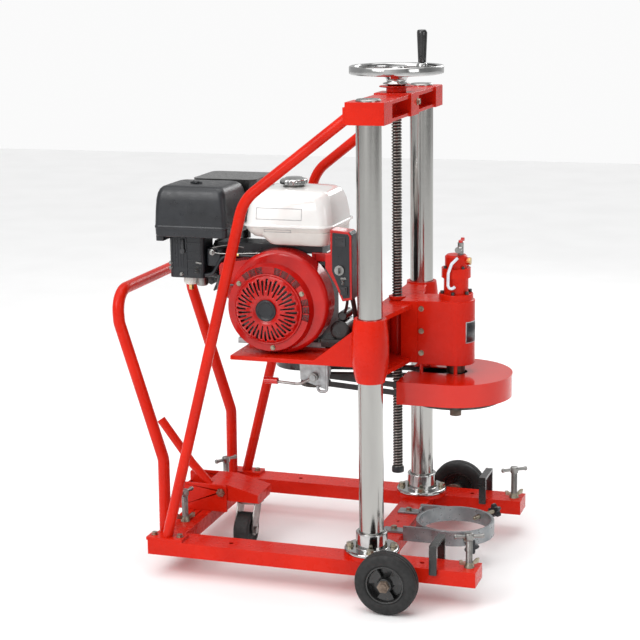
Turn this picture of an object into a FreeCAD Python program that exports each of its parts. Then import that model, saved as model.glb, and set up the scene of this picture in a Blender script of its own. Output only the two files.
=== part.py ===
import FreeCAD, Part
import math
import os
import Sketcher
from FreeCAD import Placement, Rotation, Vector

# Petrol core drill rig on a wheeled frame.
# Frame: millimetres, +Z up, floor at Z = 0, +X towards the drilling spindle, +Y to the rig's left.
# The plane of the two columns stands at X = column_x; the sub-parts are drawn from that plane.

DIMENSIONS = {
    # base frame
    "column_x": 206,
    "floor_gap": 64,
    "rail_length": 910,
    "rail_rear": -615,
    "rail_width": 80,
    "rail_height": 40,
    "rail_side": 292,
    "tube_wall": 3,
    "anchor_front": 145,
    "anchor_rear": -386,
    "anchor_hole": 13,
    "pad_thick": 10,
    "column_radius": 32.5,
    "column_side": 262,
    "column_top": 1298,
    "flange_radius": 73,
    "flange_thick": 10,
    "collar_radius": 42,
    "collar_height": 43,
    "flange_bolt_circle": 58,
    "beam_bottom": 1235,
    "beam_height": 57,
    "beam_half_depth": 51,
    "beam_block": 76,
    "stay_radius": 14.5,
    "handle_radius": 16,
    "handle_side": 256,
    "handle_x": -712,
    "handle_z": 772,
    # wheels and caster
    "wheel_radius": 82,
    "wheel_width": 50,
    "wheel_side": 400,
    "wheel_axle_x": 79,
    "rim_radius": 52,
    "axle_radius": 10,
    "caster_x": -440,
    "caster_radius": 50,
    "caster_width": 44,
    "caster_trail": 38,
    "carrier_pin_x": -505,
    "carrier_pin_z": 162,
    "pin_radius": 8,
    "bracket_side": 62,
    "plate": 6,
    # levelling and ring
    "level_front_x": 269,
    "level_front_y": 290,
    "level_rear_x": -575,
    "level_rear_y": 159,
    "level_radius": 9,
    "ring_x": 163,
    "ring_outer": 107.7,
    "ring_inner": 99.5,
    "ring_bottom": 85,
    "ring_height": 41,
    "clamp_angle": 62,
    # feed
    "screw_radius": 13.6,
    "screw_bottom": 249,
    "handwheel_radius": 125,
    "handwheel_z": 1342,
    "rim_height": 22,
    "grip_reach": 106,
    "grip_angle": 65,
    # carriage
    "running_gap": 0.05,
    "sleeve_bottom": 572,
    "sleeve_height": 167,
    "web_bottom": 578,
    "web_top": 736,
    "spindle_x": 163,
    "housing_radius": 51,
    "housing_bottom": 572,
    "housing_top": 746,
    "spindle_radius": 25,
    "nose_radius": 15.875,
    "nose_bottom": 424,
    "guard_radius": 153,
    "guard_bottom": 485,
    "guard_height": 61,
    "guard_rear": 39,
    "pulley_radius": 125,
    "pulley_bottom": 484,
    "pulley_height": 52,
    "drive_x": -236,
    "drive_radius": 42,
    "belt_pitch": 22,
    "belt_upper": 523,
    # engine
    "plate_bottom": 593,
    "plate_thick": 12,
    "plate_side": 212,
    "crank_x": -305,
    "crank_z": 731,
    "fan_x": -285,
    "fan_z": 746,
    "fan_radius": 140,
    "tank_front": -138,
    "tank_rear": -394,
    "tank_near": -150,
    "tank_far": 80,
    "tank_seam": 945,
    "tank_top": 1042,
    "filter_front": -418,
    "filter_rear": -628,
    "filter_near": -190,
    "filter_far": -8,
    "filter_bottom": 915,
    "filter_top": 1052,
}


class Dim:
    """A number that keeps the spreadsheet formula it comes from."""

    def __init__(self, value, text=None):
        self.value = float(value)
        self.text = text if text else "(%r)" % float(value)

    def __add__(self, other):
        other = dim(other)
        return Dim(self.value + other.value, "(%s + %s)" % (self.text, other.text))

    def __sub__(self, other):
        other = dim(other)
        return Dim(self.value - other.value, "(%s - %s)" % (self.text, other.text))

    def __mul__(self, other):
        other = dim(other)
        return Dim(self.value * other.value, "(%s * %s)" % (self.text, other.text))

    def __truediv__(self, other):
        other = dim(other)
        return Dim(self.value / other.value, "(%s / %s)" % (self.text, other.text))

    def __neg__(self):
        return Dim(-self.value, "(0 - %s)" % self.text)

    def __radd__(self, other):
        return dim(other) + self

    def __rsub__(self, other):
        return dim(other) - self

    def __rmul__(self, other):
        return dim(other) * self


def dim(number):
    return number if isinstance(number, Dim) else Dim(number)


doc = FreeCAD.newDocument("core_drill_rig")
sheet = doc.addObject("Spreadsheet::Sheet", "dims")
for row, (alias, number) in enumerate(DIMENSIONS.items(), start=1):
    sheet.set("A%d" % row, alias)
    sheet.set("B%d" % row, str(number))
    sheet.setAlias("B%d" % row, alias)
doc.recompute()


class Sizes:
    """Each driving dimension as an attribute: d.rail_length."""


d = Sizes()
for alias, number in DIMENSIONS.items():
    setattr(d, alias, Dim(number, "dims.%s" % alias))

subparts = []
X_AXIS, Y_AXIS, Z_AXIS = Vector(1, 0, 0), Vector(0, 1, 0), Vector(0, 0, 1)
ALONG_X = Rotation(Y_AXIS, 90)
ALONG_Y = Rotation(X_AXIS, -90)
UPRIGHT = Rotation()


# ---------------------------------------------------------------- helpers

def bind(obj, **sizes):
    for prop, size in sizes.items():
        size = dim(size)
        setattr(obj, prop, size.value)
        if "dims." in size.text:
            obj.setExpression(prop, size.text)


def move(obj, x=0, y=0, z=0, turn=UPRIGHT):
    spot = [dim(x), dim(y), dim(z)]
    obj.Placement = Placement(Vector(*[part.value for part in spot]), turn)
    for letter, part in zip("xyz", spot):
        if "dims." in part.text:
            obj.setExpression("Placement.Base.%s" % letter, part.text)
    return obj


def box(x, y, z, low=(0, 0, 0)):
    """A block of that size with its lowest corner at low."""
    obj = doc.addObject("Part::Box", "block")
    bind(obj, Length=x, Width=y, Height=z)
    return move(obj, *low)


def mid_box(x, y, z, low=(0, 0, 0)):
    """A block centred in X and Y on low, standing on low's height."""
    return box(x, y, z, (dim(low[0]) - dim(x) / 2, dim(low[1]) - dim(y) / 2, low[2]))


def cylinder(radius, length, base=(0, 0, 0), turn=UPRIGHT):
    obj = doc.addObject("Part::Cylinder", "round")
    bind(obj, Radius=radius, Height=length)
    return move(obj, *base, turn=turn)


def cone(bottom, top, length, base=(0, 0, 0), turn=UPRIGHT):
    obj = doc.addObject("Part::Cone", "taper")
    bind(obj, Radius1=bottom, Radius2=top, Height=length)
    return move(obj, *base, turn=turn)


def hexagon(radius, length, base=(0, 0, 0), turn=UPRIGHT):
    obj = doc.addObject("Part::Prism", "hexagon")
    obj.Polygon = 6
    bind(obj, Circumradius=radius, Height=length)
    return move(obj, *base, turn=turn)



def fuse(*pieces):
    obj = doc.addObject("Part::MultiFuse", "joined")
    obj.Shapes = list(pieces)
    obj.Refine = True
    return obj


def cut(base, *tools):
    obj = doc.addObject("Part::Cut", "cut")
    obj.Base = base
    obj.Tool = tools[0] if len(tools) == 1 else group(*tools)
    return obj


def group(*pieces):
    obj = doc.addObject("Part::Compound", "group")
    obj.Links = list(pieces)
    return obj


def arc_edge(start, end, radius):
    """The arc of that radius between two points; a positive radius bulges to the right of start to end."""
    chord = end - start
    half = chord.Length / 2
    lift = math.sqrt(max(radius ** 2 - half ** 2, 0))
    normal = Vector(chord.y, -chord.x, 0).normalize() * math.copysign(1, radius)
    centre = (start + end) / 2 - normal * lift
    return Part.Arc(start, centre + normal * abs(radius), end)


def outline(body, plane, points):
    """A closed sketch; a point is (u, v), or (u, v, radius) where an arc leads to it."""
    sketch = body.newObject("Sketcher::SketchObject", "outline")
    origin = [f for f in body.Origin.OriginFeatures if f.Role == plane][0]
    sketch.AttachmentSupport = [(origin, "")]
    sketch.MapMode = "FlatFace"
    spots = [Vector(dim(p[0]).value, dim(p[1]).value, 0) for p in points]
    count = len(points)
    for i in range(count):
        start, end = spots[i], spots[(i + 1) % count]
        target = points[(i + 1) % count]
        if len(target) == 3:
            edge = arc_edge(start, end, dim(target[2]).value)
            sketch.addGeometry(edge, False)
        else:
            sketch.addGeometry(Part.LineSegment(start, end), False)
    ends = []
    for i in range(count):
        geometry = sketch.Geometry[i]
        flipped = (geometry.StartPoint - spots[i]).Length > 1e-6
        ends.append((2, 1) if flipped else (1, 2))
    for i in range(count):
        following = (i + 1) % count
        sketch.addConstraint(Sketcher.Constraint("Coincident", i, ends[i][1], following, ends[following][0]))
    for i in range(count):
        for kind, coordinate, axis in (("DistanceX", points[i][0], -2), ("DistanceY", points[i][1], -1)):
            size = dim(coordinate)
            if abs(size.value) < 1e-9:
                sketch.addConstraint(Sketcher.Constraint("PointOnObject", i, ends[i][0], axis))
                continue
            number = sketch.addConstraint(Sketcher.Constraint(kind, -1, 1, i, ends[i][0], size.value))
            if "dims." in size.text:
                sketch.setExpression("Constraints[%d]" % number, size.text)
        if len(points[i]) == 3:
            before = (i - 1) % count
            size = dim(points[i][2])
            sketch.addConstraint(Sketcher.Constraint("Radius", before, abs(size.value)))
    return sketch


def turned(points, turn=UPRIGHT, at=(0, 0, 0)):
    """A turned piece: its half profile as (radius, height), revolved about its own Z axis."""
    body = doc.addObject("PartDesign::Body", "turned")
    sketch = outline(body, "XZ_Plane", points)
    feature = body.newObject("PartDesign::Revolution", "revolve")
    feature.Profile = sketch
    feature.ReferenceAxis = (sketch, ["V_Axis"])
    feature.Angle = 360
    return move(body, *at, turn=turn)


def padded(plane, points, thick, at=(0, 0, 0), turn=UPRIGHT):
    """A plate cut to an outline, its thickness centred on the sketch plane."""
    body = doc.addObject("PartDesign::Body", "plate")
    sketch = outline(body, plane, points)
    feature = body.newObject("PartDesign::Pad", "pad")
    feature.Profile = sketch
    feature.Midplane = True
    bind(feature, Length=thick)
    return move(body, *at, turn=turn)


def rounded_wire(points, bend):
    """Straight runs through the points, joined by arcs of the bend radius."""
    edges = []
    start = points[0]
    for before, corner, after in zip(points, points[1:], points[2:]):
        back = (before - corner).normalize()
        ahead = (after - corner).normalize()
        half_turn = (math.pi - back.getAngle(ahead)) / 2
        reach = bend * math.tan(half_turn)
        enter = corner + back * reach
        leave = corner + ahead * reach
        inward = (back + ahead).normalize()
        middle = corner + inward * (bend / math.cos(half_turn) - bend)
        edges.append(Part.LineSegment(start, enter).toShape())
        edges.append(Part.Arc(enter, middle, leave).toShape())
        start = leave
    edges.append(Part.LineSegment(start, points[-1]).toShape())
    return Part.Wire(edges)


def swept_round(spots, radius, bend):
    """A round solid swept along straight runs and bends."""
    first = (spots[1] - spots[0]).normalize()
    circle = Part.Wire([Part.makeCircle(radius, spots[0], first)])
    wire = rounded_wire(spots, bend)
    return Part.Solid(wire.makePipeShell([circle], True, False).Shells[0])


def tube(points, radius, bend, wall=None):
    """A bent round bar, or with a wall thickness a bent tube."""
    spots = [Vector(*[dim(part).value for part in point]) for point in points]
    outer = dim(radius).value
    obj = doc.addObject("Part::Feature", "bent_tube")
    obj.Shape = swept_round(spots, outer, bend)
    if wall:
        obj.Shape = obj.Shape.cut(swept_round(spots, outer - wall, bend))
    return obj


def carried(obj, x=0, y=0, z=0, turn=UPRIGHT):
    """A piece drawn about its own origin, turned and carried to a spot."""
    return move(group(obj), x, y, z, turn)


def name_it(label, obj, x=0, y=0, z=0, turn=UPRIGHT):
    """Finish a sub-part: its name, and its place measured from the columns' plane."""
    obj.Label = label
    move(obj, d.column_x + x, y, z, turn)
    subparts.append(obj)
    return obj


def mirrored(side, value):
    return dim(value) * side


# ---------------------------------------------------------------- base frame

rail_top = d.floor_gap + d.rail_height
pad_top = rail_top + d.pad_thick
flange_top = pad_top + d.flange_thick


def rail(side):
    """One box-section side rail with its round column pad, level-screw and anchor holes."""
    y = mirrored(side, d.rail_side)
    outer = mid_box(d.rail_length, d.rail_width, d.rail_height,
                    (d.rail_rear + d.rail_length / 2, y, d.floor_gap))
    pad = cylinder(d.flange_radius + 1, d.pad_thick, (0, mirrored(side, d.column_side), rail_top))
    wall = d.tube_wall
    hollow = mid_box(d.rail_length - 2 * wall, d.rail_width - 2 * wall, d.rail_height - 2 * wall,
                     (d.rail_rear + d.rail_length / 2, y, d.floor_gap + wall))
    holes = [cylinder(d.anchor_hole / 2, d.rail_height + 2, (x, y, d.floor_gap - 1))
             for x in (d.anchor_front, d.anchor_rear)]
    level = cylinder(d.level_radius + 0.5, d.rail_height + 2,
                     (d.level_front_x, mirrored(side, d.level_front_y), d.floor_gap - 1))
    return cut(fuse(outer, pad), hollow, level, *holes)


name_it("rails", group(rail(1), rail(-1)))

inner_width = 2 * (d.rail_side - d.rail_width / 2)


def crossbeam(x, holes):
    outer = mid_box(80, inner_width, d.rail_height, (x, 0, d.floor_gap))
    hollow = mid_box(80 - 2 * d.tube_wall, inner_width - 2 * d.tube_wall, d.rail_height - 2 * d.tube_wall,
                     (x, 0, d.floor_gap + d.tube_wall))
    drains = [cylinder(radius, d.rail_height + 2, (hole_x, hole_y, d.floor_gap - 1))
              for radius, hole_x, hole_y in holes]
    return cut(outer, hollow, *drains)


rear_holes = [(d.level_radius + 0.5, d.level_rear_x, mirrored(side, d.level_rear_y)) for side in (1, -1)]
front_holes = [(4, 0, 0)]
name_it("crossbeams", group(crossbeam(d.level_rear_x, rear_holes), crossbeam(0, front_holes)))


def column(side):
    """A polished steel tube column with a bevelled, plugged top end."""
    r = d.column_radius
    top = d.column_top
    inner = r - 8
    profile = [(0, top - 10), (inner, top - 10), (inner, pad_top), (r, pad_top), (r, top - 3), (r - 3, top),
               (0, top)]
    return turned(profile, at=(0, mirrored(side, d.column_side), 0))


name_it("columns", group(column(1), column(-1)))


def column_flange(side):
    """The chromed foot of a column: bolted flange, collar and a rounded lip."""
    bore = d.column_radius + 0.3
    top = flange_top + d.collar_height
    profile = [(bore, pad_top), (d.flange_radius, pad_top), (d.flange_radius, flange_top - 3),
               (d.flange_radius - 3, flange_top), (d.collar_radius, flange_top),
               (d.collar_radius, top - 2), (d.collar_radius - 2, top), (bore, top)]
    return turned(profile, at=(0, mirrored(side, d.column_side), 0))


name_it("column_flanges", group(column_flange(1), column_flange(-1)))


def top_beam():
    """The cast head beam: two column blocks and a screw block joined by I-section arms."""
    depth = 2 * d.beam_half_depth
    top = d.beam_bottom + d.beam_height
    blocks = [mid_box(depth, d.beam_block, d.beam_height, (0, mirrored(side, d.column_side), d.beam_bottom))
              for side in (1, -1)]
    middle = mid_box(depth, 80, d.beam_height + 3, (0, 0, d.beam_bottom - 1))
    lower = mid_box(depth - 10, 2 * d.column_side, 8, (0, 0, d.beam_bottom + 1))
    upper = mid_box(depth - 10, 2 * d.column_side, 10, (0, 0, top - 11))
    web = mid_box(20, 2 * d.column_side, d.beam_height - 4, (0, 0, d.beam_bottom + 2))
    bores = [cylinder(d.column_radius + 0.3, 80, (0, mirrored(side, d.column_side), d.beam_bottom - 5))
             for side in (1, -1)]
    screw_bore = cylinder(19, 80, (0, 0, d.beam_bottom - 5))
    return cut(fuse(middle, lower, upper, web, *blocks), screw_bore, *bores)


name_it("top_beam", top_beam())
beam_top = d.beam_bottom + d.beam_height + 2

bearing_profile = [(14.3, d.beam_bottom + 20), (18.9, d.beam_bottom + 20), (18.9, beam_top), (27, beam_top),
                   (27, beam_top + 14), (46, beam_top + 14), (46, beam_top + 17), (14.3, beam_top + 17)]
name_it("screw_bearing", turned(bearing_profile))


def stay(side):
    """A rear stay: foot plate on the rail and a tube bent forward to the head beam."""
    points = [(-566, mirrored(side, 308), rail_top + 6), (-325, mirrored(side, 298), 1038),
              (-53, mirrored(side, 278), 1250)]
    run = tube(points, d.stay_radius, 110, wall=2.5)
    foot = mid_box(104, 50, 8, (-567, mirrored(side, 306), rail_top))
    tab = mid_box(6, 44, 40, (-d.beam_half_depth - 3, mirrored(side, 276), d.beam_bottom + 4))
    beam_space = mid_box(2 * d.beam_half_depth, 120, 100, (0, mirrored(side, 276), d.beam_bottom - 20))
    return cut(fuse(run, foot, tab), beam_space)


name_it("stays", group(stay(1), stay(-1)))


def push_handle():
    side = d.handle_side
    near, far = -side, side
    points = [(-594, near, rail_top + 0.2), (-592, near, 312), (-708, near, 688), (d.handle_x, near, d.handle_z),
              (d.handle_x, far, d.handle_z), (-708, far, 688), (-592, far, 312), (-594, far, rail_top + 0.2)]
    return tube(points, d.handle_radius, 60, wall=2.5)


name_it("push_handle", push_handle())


def guide_ring():
    """The ring round the core bit, with two arms on edge and bolted ears on the crossbeam."""
    x = d.ring_x
    ring = cylinder(d.ring_outer, d.ring_height, (x, 0, d.ring_bottom))
    hole = cylinder(d.ring_inner, d.ring_height + 2, (x, 0, d.ring_bottom - 1))
    parts = [ring]
    cuts = [hole]
    for side in (1, -1):
        y = mirrored(side, 94)
        parts.append(mid_box(92, 8, d.ring_height, (86.3, y, d.ring_bottom)))
        parts.append(mid_box(62, 34, 6, (12, mirrored(side, 81), rail_top)))
        parts.append(mid_box(8, 22, 16, (44.3, mirrored(side, 87), rail_top)))
        cuts.append(cylinder(5.5, 20, (10, mirrored(side, 78), rail_top - 5)))
        turn = Rotation(Z_AXIS, DIMENSIONS["clamp_angle"] * side).multiply(ALONG_X)
        cuts.append(carried(cylinder(6.3, 40, (0, 0, 85)), x, 0, 107, turn))
    return cut(fuse(*parts), *cuts)


name_it("guide_ring", guide_ring())


def rail_bracket(side):
    """A flat-bar bridge over the rail."""
    low = rail_top - 14
    top = 170
    y = mirrored(side, d.rail_side)
    reach = d.rail_width / 2
    span = mid_box(20, 2 * (reach + 9), 8, (185, y, top - 8))
    legs = [mid_box(20, 8, dim(top) - low, (185, y + shift * (reach + 5), low)) for shift in (1, -1)]
    return fuse(span, *legs)


name_it("rail_brackets", group(rail_bracket(1), rail_bracket(-1)))

rail_outside = d.rail_side + d.rail_width / 2
axle_end = d.wheel_side + d.wheel_width / 2 + 13


def wheel_axle(side):
    """A stub axle on the rail's outer face, with its shoulder and end nut."""
    turn = ALONG_Y if side > 0 else Rotation(X_AXIS, 90)
    hub = d.wheel_side - d.wheel_width / 2 - 0.4
    profile = [(0, rail_outside), (30, rail_outside), (30, rail_outside + 6), (17, rail_outside + 6),
               (17, hub), (d.axle_radius, hub), (d.axle_radius, axle_end), (0, axle_end)]
    shaft = turned(profile, turn, (d.wheel_axle_x, 0, d.wheel_radius))
    nut = hexagon(16, 10, (0, 0, 0), turn)
    start = d.wheel_side + d.wheel_width / 2 + 0.4
    move(nut, d.wheel_axle_x, mirrored(side, start), d.wheel_radius, turn)
    return fuse(shaft, nut)


name_it("wheel_axles", group(wheel_axle(1), wheel_axle(-1)))


def caster_bracket():
    """The channel on the rear crossbeam that holds the caster carrier between two cheeks."""
    half = d.bracket_side - d.plate / 2
    cheek_profile = [(-648, 104), (-488, 104), (-488, 180), (-496, 184), (-640, 184), (-648, 176)]
    cheeks = [padded("XZ_Plane", cheek_profile, d.plate, (0, mirrored(side, half), 0)) for side in (1, -1)]
    floor_plate = mid_box(110, 2 * d.bracket_side - 2, 6, (-590, 0, rail_top))
    back_plate = mid_box(6, 2 * d.bracket_side - 2, 48, (-645, 0, rail_top))
    bore = cylinder(d.pin_radius + 0.3, 140, (d.carrier_pin_x, -70, d.carrier_pin_z), ALONG_Y)
    return cut(fuse(floor_plate, back_plate, *cheeks), bore)


name_it("caster_bracket", caster_bracket())


def hex_bolt(radius, head, spot, turn=UPRIGHT, shank=0):
    """A hexagon head on a washer; the shank runs back into the joint."""
    x, y, z = spot
    washer = cylinder(radius * 1.9, 1.5, (0, 0, 0))
    hexagonal = hexagon(radius * 1.6, head, (0, 0, 1.5))
    bolt = fuse(washer, hexagonal)
    if shank:
        bolt = fuse(bolt, cylinder(radius, shank, (0, 0, -shank)))
    return move(bolt, x, y, z, turn)


def wing_nut(x, y, z):
    hub = cone(14, 10, 14, (0, 0, 0))
    wings = [padded("XZ_Plane", [(8, 4), (26, 10), (28, 22), (20, 22), (8, 12)], 4, (0, 0, 0),
                    Rotation(Z_AXIS, angle)) for angle in (35, 215)]
    bore = cylinder(d.level_radius + 0.5, 40, (0, 0, -5))
    return move(cut(fuse(hub, *wings), bore), x, y, z)


def frame_bolts():
    bolts = []
    for side in (1, -1):
        for step in range(4):
            angle = math.radians(12 + 90 * step)
            x = d.flange_bolt_circle * math.cos(angle)
            y = mirrored(side, d.column_side) + d.flange_bolt_circle * math.sin(angle)
            bolts.append(hex_bolt(6, 8, (x, y, flange_top)))
        for x in (-604, -530):
            bolts.append(hex_bolt(5, 6, (x, mirrored(side, 306), rail_top + 8)))
        bolts.append(hex_bolt(5, 7, (10, mirrored(side, 78), rail_top + 6)))
        bolts.append(wing_nut(d.level_front_x, mirrored(side, d.level_front_y), rail_top))
        bolts.append(wing_nut(d.level_rear_x, mirrored(side, d.level_rear_y), rail_top))
        bolts.append(hex_bolt(5, 6, (-d.beam_half_depth, mirrored(side, 240), 1275), Rotation(Y_AXIS, -90)))
    bolts.append(hex_bolt(5, 6, (d.beam_half_depth, 22, 1268), ALONG_X))
    pin = cylinder(d.pin_radius, 2 * d.bracket_side + 14, (d.carrier_pin_x, -d.bracket_side - 7, d.carrier_pin_z),
                   ALONG_Y)
    heads = [hexagon(13, 6, (d.carrier_pin_x, mirrored(side, d.bracket_side) - (0 if side > 0 else 6),
                             d.carrier_pin_z), ALONG_Y) for side in (1, -1)]
    bolts.append(fuse(pin, *heads))
    return group(*bolts)


name_it("frame_bolts", frame_bolts())


# ---------------------------------------------------------------- front wheels

def front_wheel(side, word):
    half = d.wheel_width / 2
    outer = d.wheel_radius
    inner = d.rim_radius
    tyre = [(inner, -half + 4), (inner + 8, -half), (outer - 7, -half), (outer, -half + 7, 8),
            (outer, half - 7), (outer - 7, half, 8), (inner + 8, half), (inner, half - 4)]
    hub = 19
    bore = d.axle_radius + d.running_gap
    rim = [(bore, -half), (hub, -half), (hub + 3, -9), (inner - 9, -9), (inner - 5, -half + 4),
           (inner, -half + 4), (inner, half - 4), (inner - 5, half - 4), (inner - 9, 9), (hub + 3, 9),
           (hub, half), (bore, half)]
    spot = (d.wheel_axle_x, mirrored(side, d.wheel_side), d.wheel_radius)
    name_it("front_tyre_" + word, turned(tyre), *spot, turn=ALONG_Y)
    name_it("front_rim_" + word, turned(rim), *spot, turn=ALONG_Y)


front_wheel(1, "left")
front_wheel(-1, "right")


# ---------------------------------------------------------------- rear caster

def caster_carrier():
    """The pivoting house-shaped cover that holds the caster, with its lever welded on behind."""
    profile = [(-556, 152), (-486, 136), (-396, 136), (-396, 160), (-486, 183), (-556, 183)]
    shell = padded("XZ_Plane", profile, 2 * 55.4)
    inside = [(-560, 158), (-486, 142), (-402, 142), (-402, 155), (-487, 177), (-560, 177)]
    hollow = padded("XZ_Plane", inside, 2 * 50)
    top_plate = mid_box(90, 90, 8, (-441, 0, 132))
    boss = cylinder(14, 2 * 55.4, (d.carrier_pin_x, -55.4, d.carrier_pin_z), ALONG_Y)
    bore = cylinder(d.pin_radius + d.running_gap, 140, (d.carrier_pin_x, -70, d.carrier_pin_z), ALONG_Y)
    kingpin_hole = cylinder(8.05, 40, (d.caster_x, 0, 120))
    lever = tube([(-548, -38, 178), (-600, -41, 236), (-690, -45, 360)], 12.5, 80)
    return cut(fuse(cut(shell, hollow), top_plate, boss, lever), bore, kingpin_hole)


name_it("caster_carrier", caster_carrier())


def caster_fork():
    """The swivelling fork, turned so that the wheel rolls along Y; kingpin and axle bolt in one."""
    top = cylinder(40, 7, (0, 0, 124.6))
    kingpin = cylinder(8, 30, (0, 0, 124.6))
    half = d.caster_width / 2 + 3.5
    leg = [(-30, 130), (26, 130), (10, 96), (-20, 40), (-38, 34), (-54, 42), (-58, 60), (-44, 100)]
    legs = [padded("YZ_Plane", leg, 4, (mirrored(side, half), 0, 0)) for side in (1, -1)]
    axle = cylinder(6, 2 * half + 16, (-half - 8, -d.caster_trail, d.caster_radius), ALONG_X)
    nuts = [hexagon(11, 6, (mirrored(side, half + 5) - 3, -d.caster_trail, d.caster_radius), ALONG_X)
            for side in (1, -1)]
    return fuse(top, kingpin, axle, *legs, *nuts)


name_it("caster_fork", caster_fork(), d.caster_x)

caster_half = d.caster_width / 2
caster_profile = [(6.05, -caster_half - 1), (14, -caster_half - 1), (16, -caster_half + 4), (34, -caster_half + 4),
                  (36, -caster_half), (d.caster_radius - 4, -caster_half), (d.caster_radius, -caster_half + 5, 6),
                  (d.caster_radius, caster_half - 5), (d.caster_radius - 4, caster_half, 6), (36, caster_half),
                  (34, caster_half - 4), (16, caster_half - 4), (14, caster_half + 1), (6.05, caster_half + 1)]
name_it("caster_wheel", turned(caster_profile), d.caster_x, -d.caster_trail, d.caster_radius, ALONG_X)


# ---------------------------------------------------------------- levelling screws and ring clamps

def levelling_screw(word, x, y, angle):
    """A jacking screw with a T-bar on top and a swivel foot below the tube."""
    low = d.floor_gap - 9
    spindle = cylinder(d.level_radius, 125, (0, 0, low + 4))
    foot = cone(13, 10, 7, (0, 0, low))
    hub = cylinder(12, 18, (0, 0, low + 124))
    bar = cylinder(5, 72, (0, 0, 0), ALONG_X)
    move(bar, -36, 0, low + 133, ALONG_X)
    ends = [cylinder(7, 8, (shift, 0, low + 133), ALONG_X) for shift in (-40, 32)]
    name_it("levelling_screw_" + word, fuse(spindle, foot, hub, bar, *ends), x, y, 0, Rotation(Z_AXIS, angle))


levelling_screw("front_left", d.level_front_x, d.level_front_y, 35)
levelling_screw("front_right", d.level_front_x, -d.level_front_y, 20)
levelling_screw("rear_left", d.level_rear_x, d.level_rear_y, 60)
levelling_screw("rear_right", d.level_rear_x, -d.level_rear_y, 80)


def ring_clamp(side, word):
    """A radial clamp screw through the guide ring, with a five-lobed knob."""
    rod = cylinder(6, 92, (0, 0, 84))
    tip = cylinder(5, 6, (0, 0, 79))
    hub = cylinder(14, 16, (0, 0, 162))
    lobes = []
    for step in range(5):
        angle = 2 * math.pi * step / 5
        lobes.append(cylinder(7, 16, (14 * math.cos(angle), 14 * math.sin(angle), 162)))
    knob = fuse(rod, tip, hub, *lobes)
    turn = Rotation(Z_AXIS, DIMENSIONS["clamp_angle"] * side).multiply(ALONG_X)
    name_it("ring_clamp_" + word, knob, d.ring_x, 0, 107, turn)


ring_clamp(1, "left")
ring_clamp(-1, "right")


# ---------------------------------------------------------------- feed

def lead_screw():
    """The feed screw, its smooth top journal and the black end cap."""
    journal = beam_top - 62
    profile = [(0, d.screw_bottom), (17, d.screw_bottom), (17, d.screw_bottom + 16),
               (d.screw_radius, d.screw_bottom + 16), (d.screw_radius, journal), (13.9, journal),
               (13.9, beam_top + 17.4), (10, beam_top + 17.4), (10, beam_top + 58), (0, beam_top + 58)]
    return turned(profile)


name_it("lead_screw", lead_screw())


def handwheel():
    """The feed handwheel: flat rim, three dished spokes, hub, and a boss for the grip."""
    z = d.handwheel_z
    r = d.handwheel_radius
    rim = turned([(r - 15, z), (r, z + 2), (r, z + d.rim_height - 2), (r - 15, z + d.rim_height)])
    hub = turned([(10.05, beam_top + 17.4), (22, beam_top + 17.4), (30, beam_top + 30),
                  (30, beam_top + 48), (24, beam_top + 54), (10.05, beam_top + 54)])
    parts = [rim, hub]
    for step in range(3):
        spoke_profile = [(20, 1328), (70, 1341), (114, 1349), (114, 1360), (66, 1352), (20, 1342)]
        parts.append(padded("XZ_Plane", spoke_profile, 18, (0, 0, 0),
                            Rotation(Z_AXIS, DIMENSIONS["grip_angle"] + 120 * step)))
    angle = math.radians(DIMENSIONS["grip_angle"])
    reach = d.grip_reach
    spot = (reach * math.cos(angle), reach * math.sin(angle), z)
    parts.append(cylinder(14, d.rim_height, spot))
    parts.append(cylinder(5, d.rim_height + 88, spot))
    return fuse(*parts)


name_it("handwheel", handwheel())

grip_profile = [(5.05, 0), (10, 0), (14, 72), (12, 85, 14), (5.05, 87)]
grip_turn = math.radians(DIMENSIONS["grip_angle"])
name_it("handwheel_grip", turned(grip_profile), d.grip_reach * math.cos(grip_turn),
        d.grip_reach * math.sin(grip_turn), d.handwheel_z + d.rim_height + 1)


# ---------------------------------------------------------------- carriage

def sleeve(side):
    """A barrel-shaped sleeve round a column."""
    low = d.sleeve_bottom
    high = low + d.sleeve_height
    bore = d.column_radius + 1
    profile = [(bore, low), (37, low), (48.5, low + 78, 260), (42, high, 560), (bore, high)]
    return turned(profile, at=(0, mirrored(side, d.column_side), 0))


BUSH_SPOTS = (594, 700)


def carriage_casting():
    """Two column sleeves joined by a rear web, two flanges, ribs and the spindle mounting face."""
    span = 2 * (d.column_side - 34)
    web = mid_box(14, span, d.web_top - d.web_bottom, (-24, 0, d.web_bottom))
    plate_outline = [(-31, -228), (24, -228), (52, -60), (52, 60), (24, 228), (-31, 228)]
    upper = padded("XY_Plane", plate_outline, 12, (0, 0, d.web_top - 6))
    lower = padded("XY_Plane", plate_outline, 12, (0, 0, d.web_bottom + 6))
    face = mid_box(46, 2 * d.housing_radius, d.housing_top - d.housing_bottom - 6, (47, 0, d.housing_bottom + 4))
    boss = cylinder(20, d.web_top - d.web_bottom + 6, (0, 0, d.web_bottom - 3))
    ribs = [padded("YZ_Plane", [(side * 226, 735), (side * 226, 690), (side * 140, 735)], 10, (14, 0, 0))
            for side in (1, -1)]
    sleeves = [sleeve(side) for side in (1, -1)]
    bores = [cylinder(d.column_radius + 1, 300, (0, mirrored(side, d.column_side), 500)) for side in (1, -1)]
    seats = [cylinder(35.5, 32, (0, mirrored(side, d.column_side), z)) for side in (1, -1) for z in BUSH_SPOTS]
    nut_bore = cylinder(17.05, 400, (0, 0, 500))
    return cut(fuse(web, upper, lower, face, boss, *ribs, *sleeves), nut_bore, *bores, *seats)


name_it("carriage_casting", carriage_casting())

nut_profile = [(14.1, 676), (16.7, 676), (16.7, d.web_top + 3), (23, d.web_top + 3), (23, d.web_top + 11),
               (14.1, d.web_top + 11)]
name_it("lead_nut", turned(nut_profile))


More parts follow.
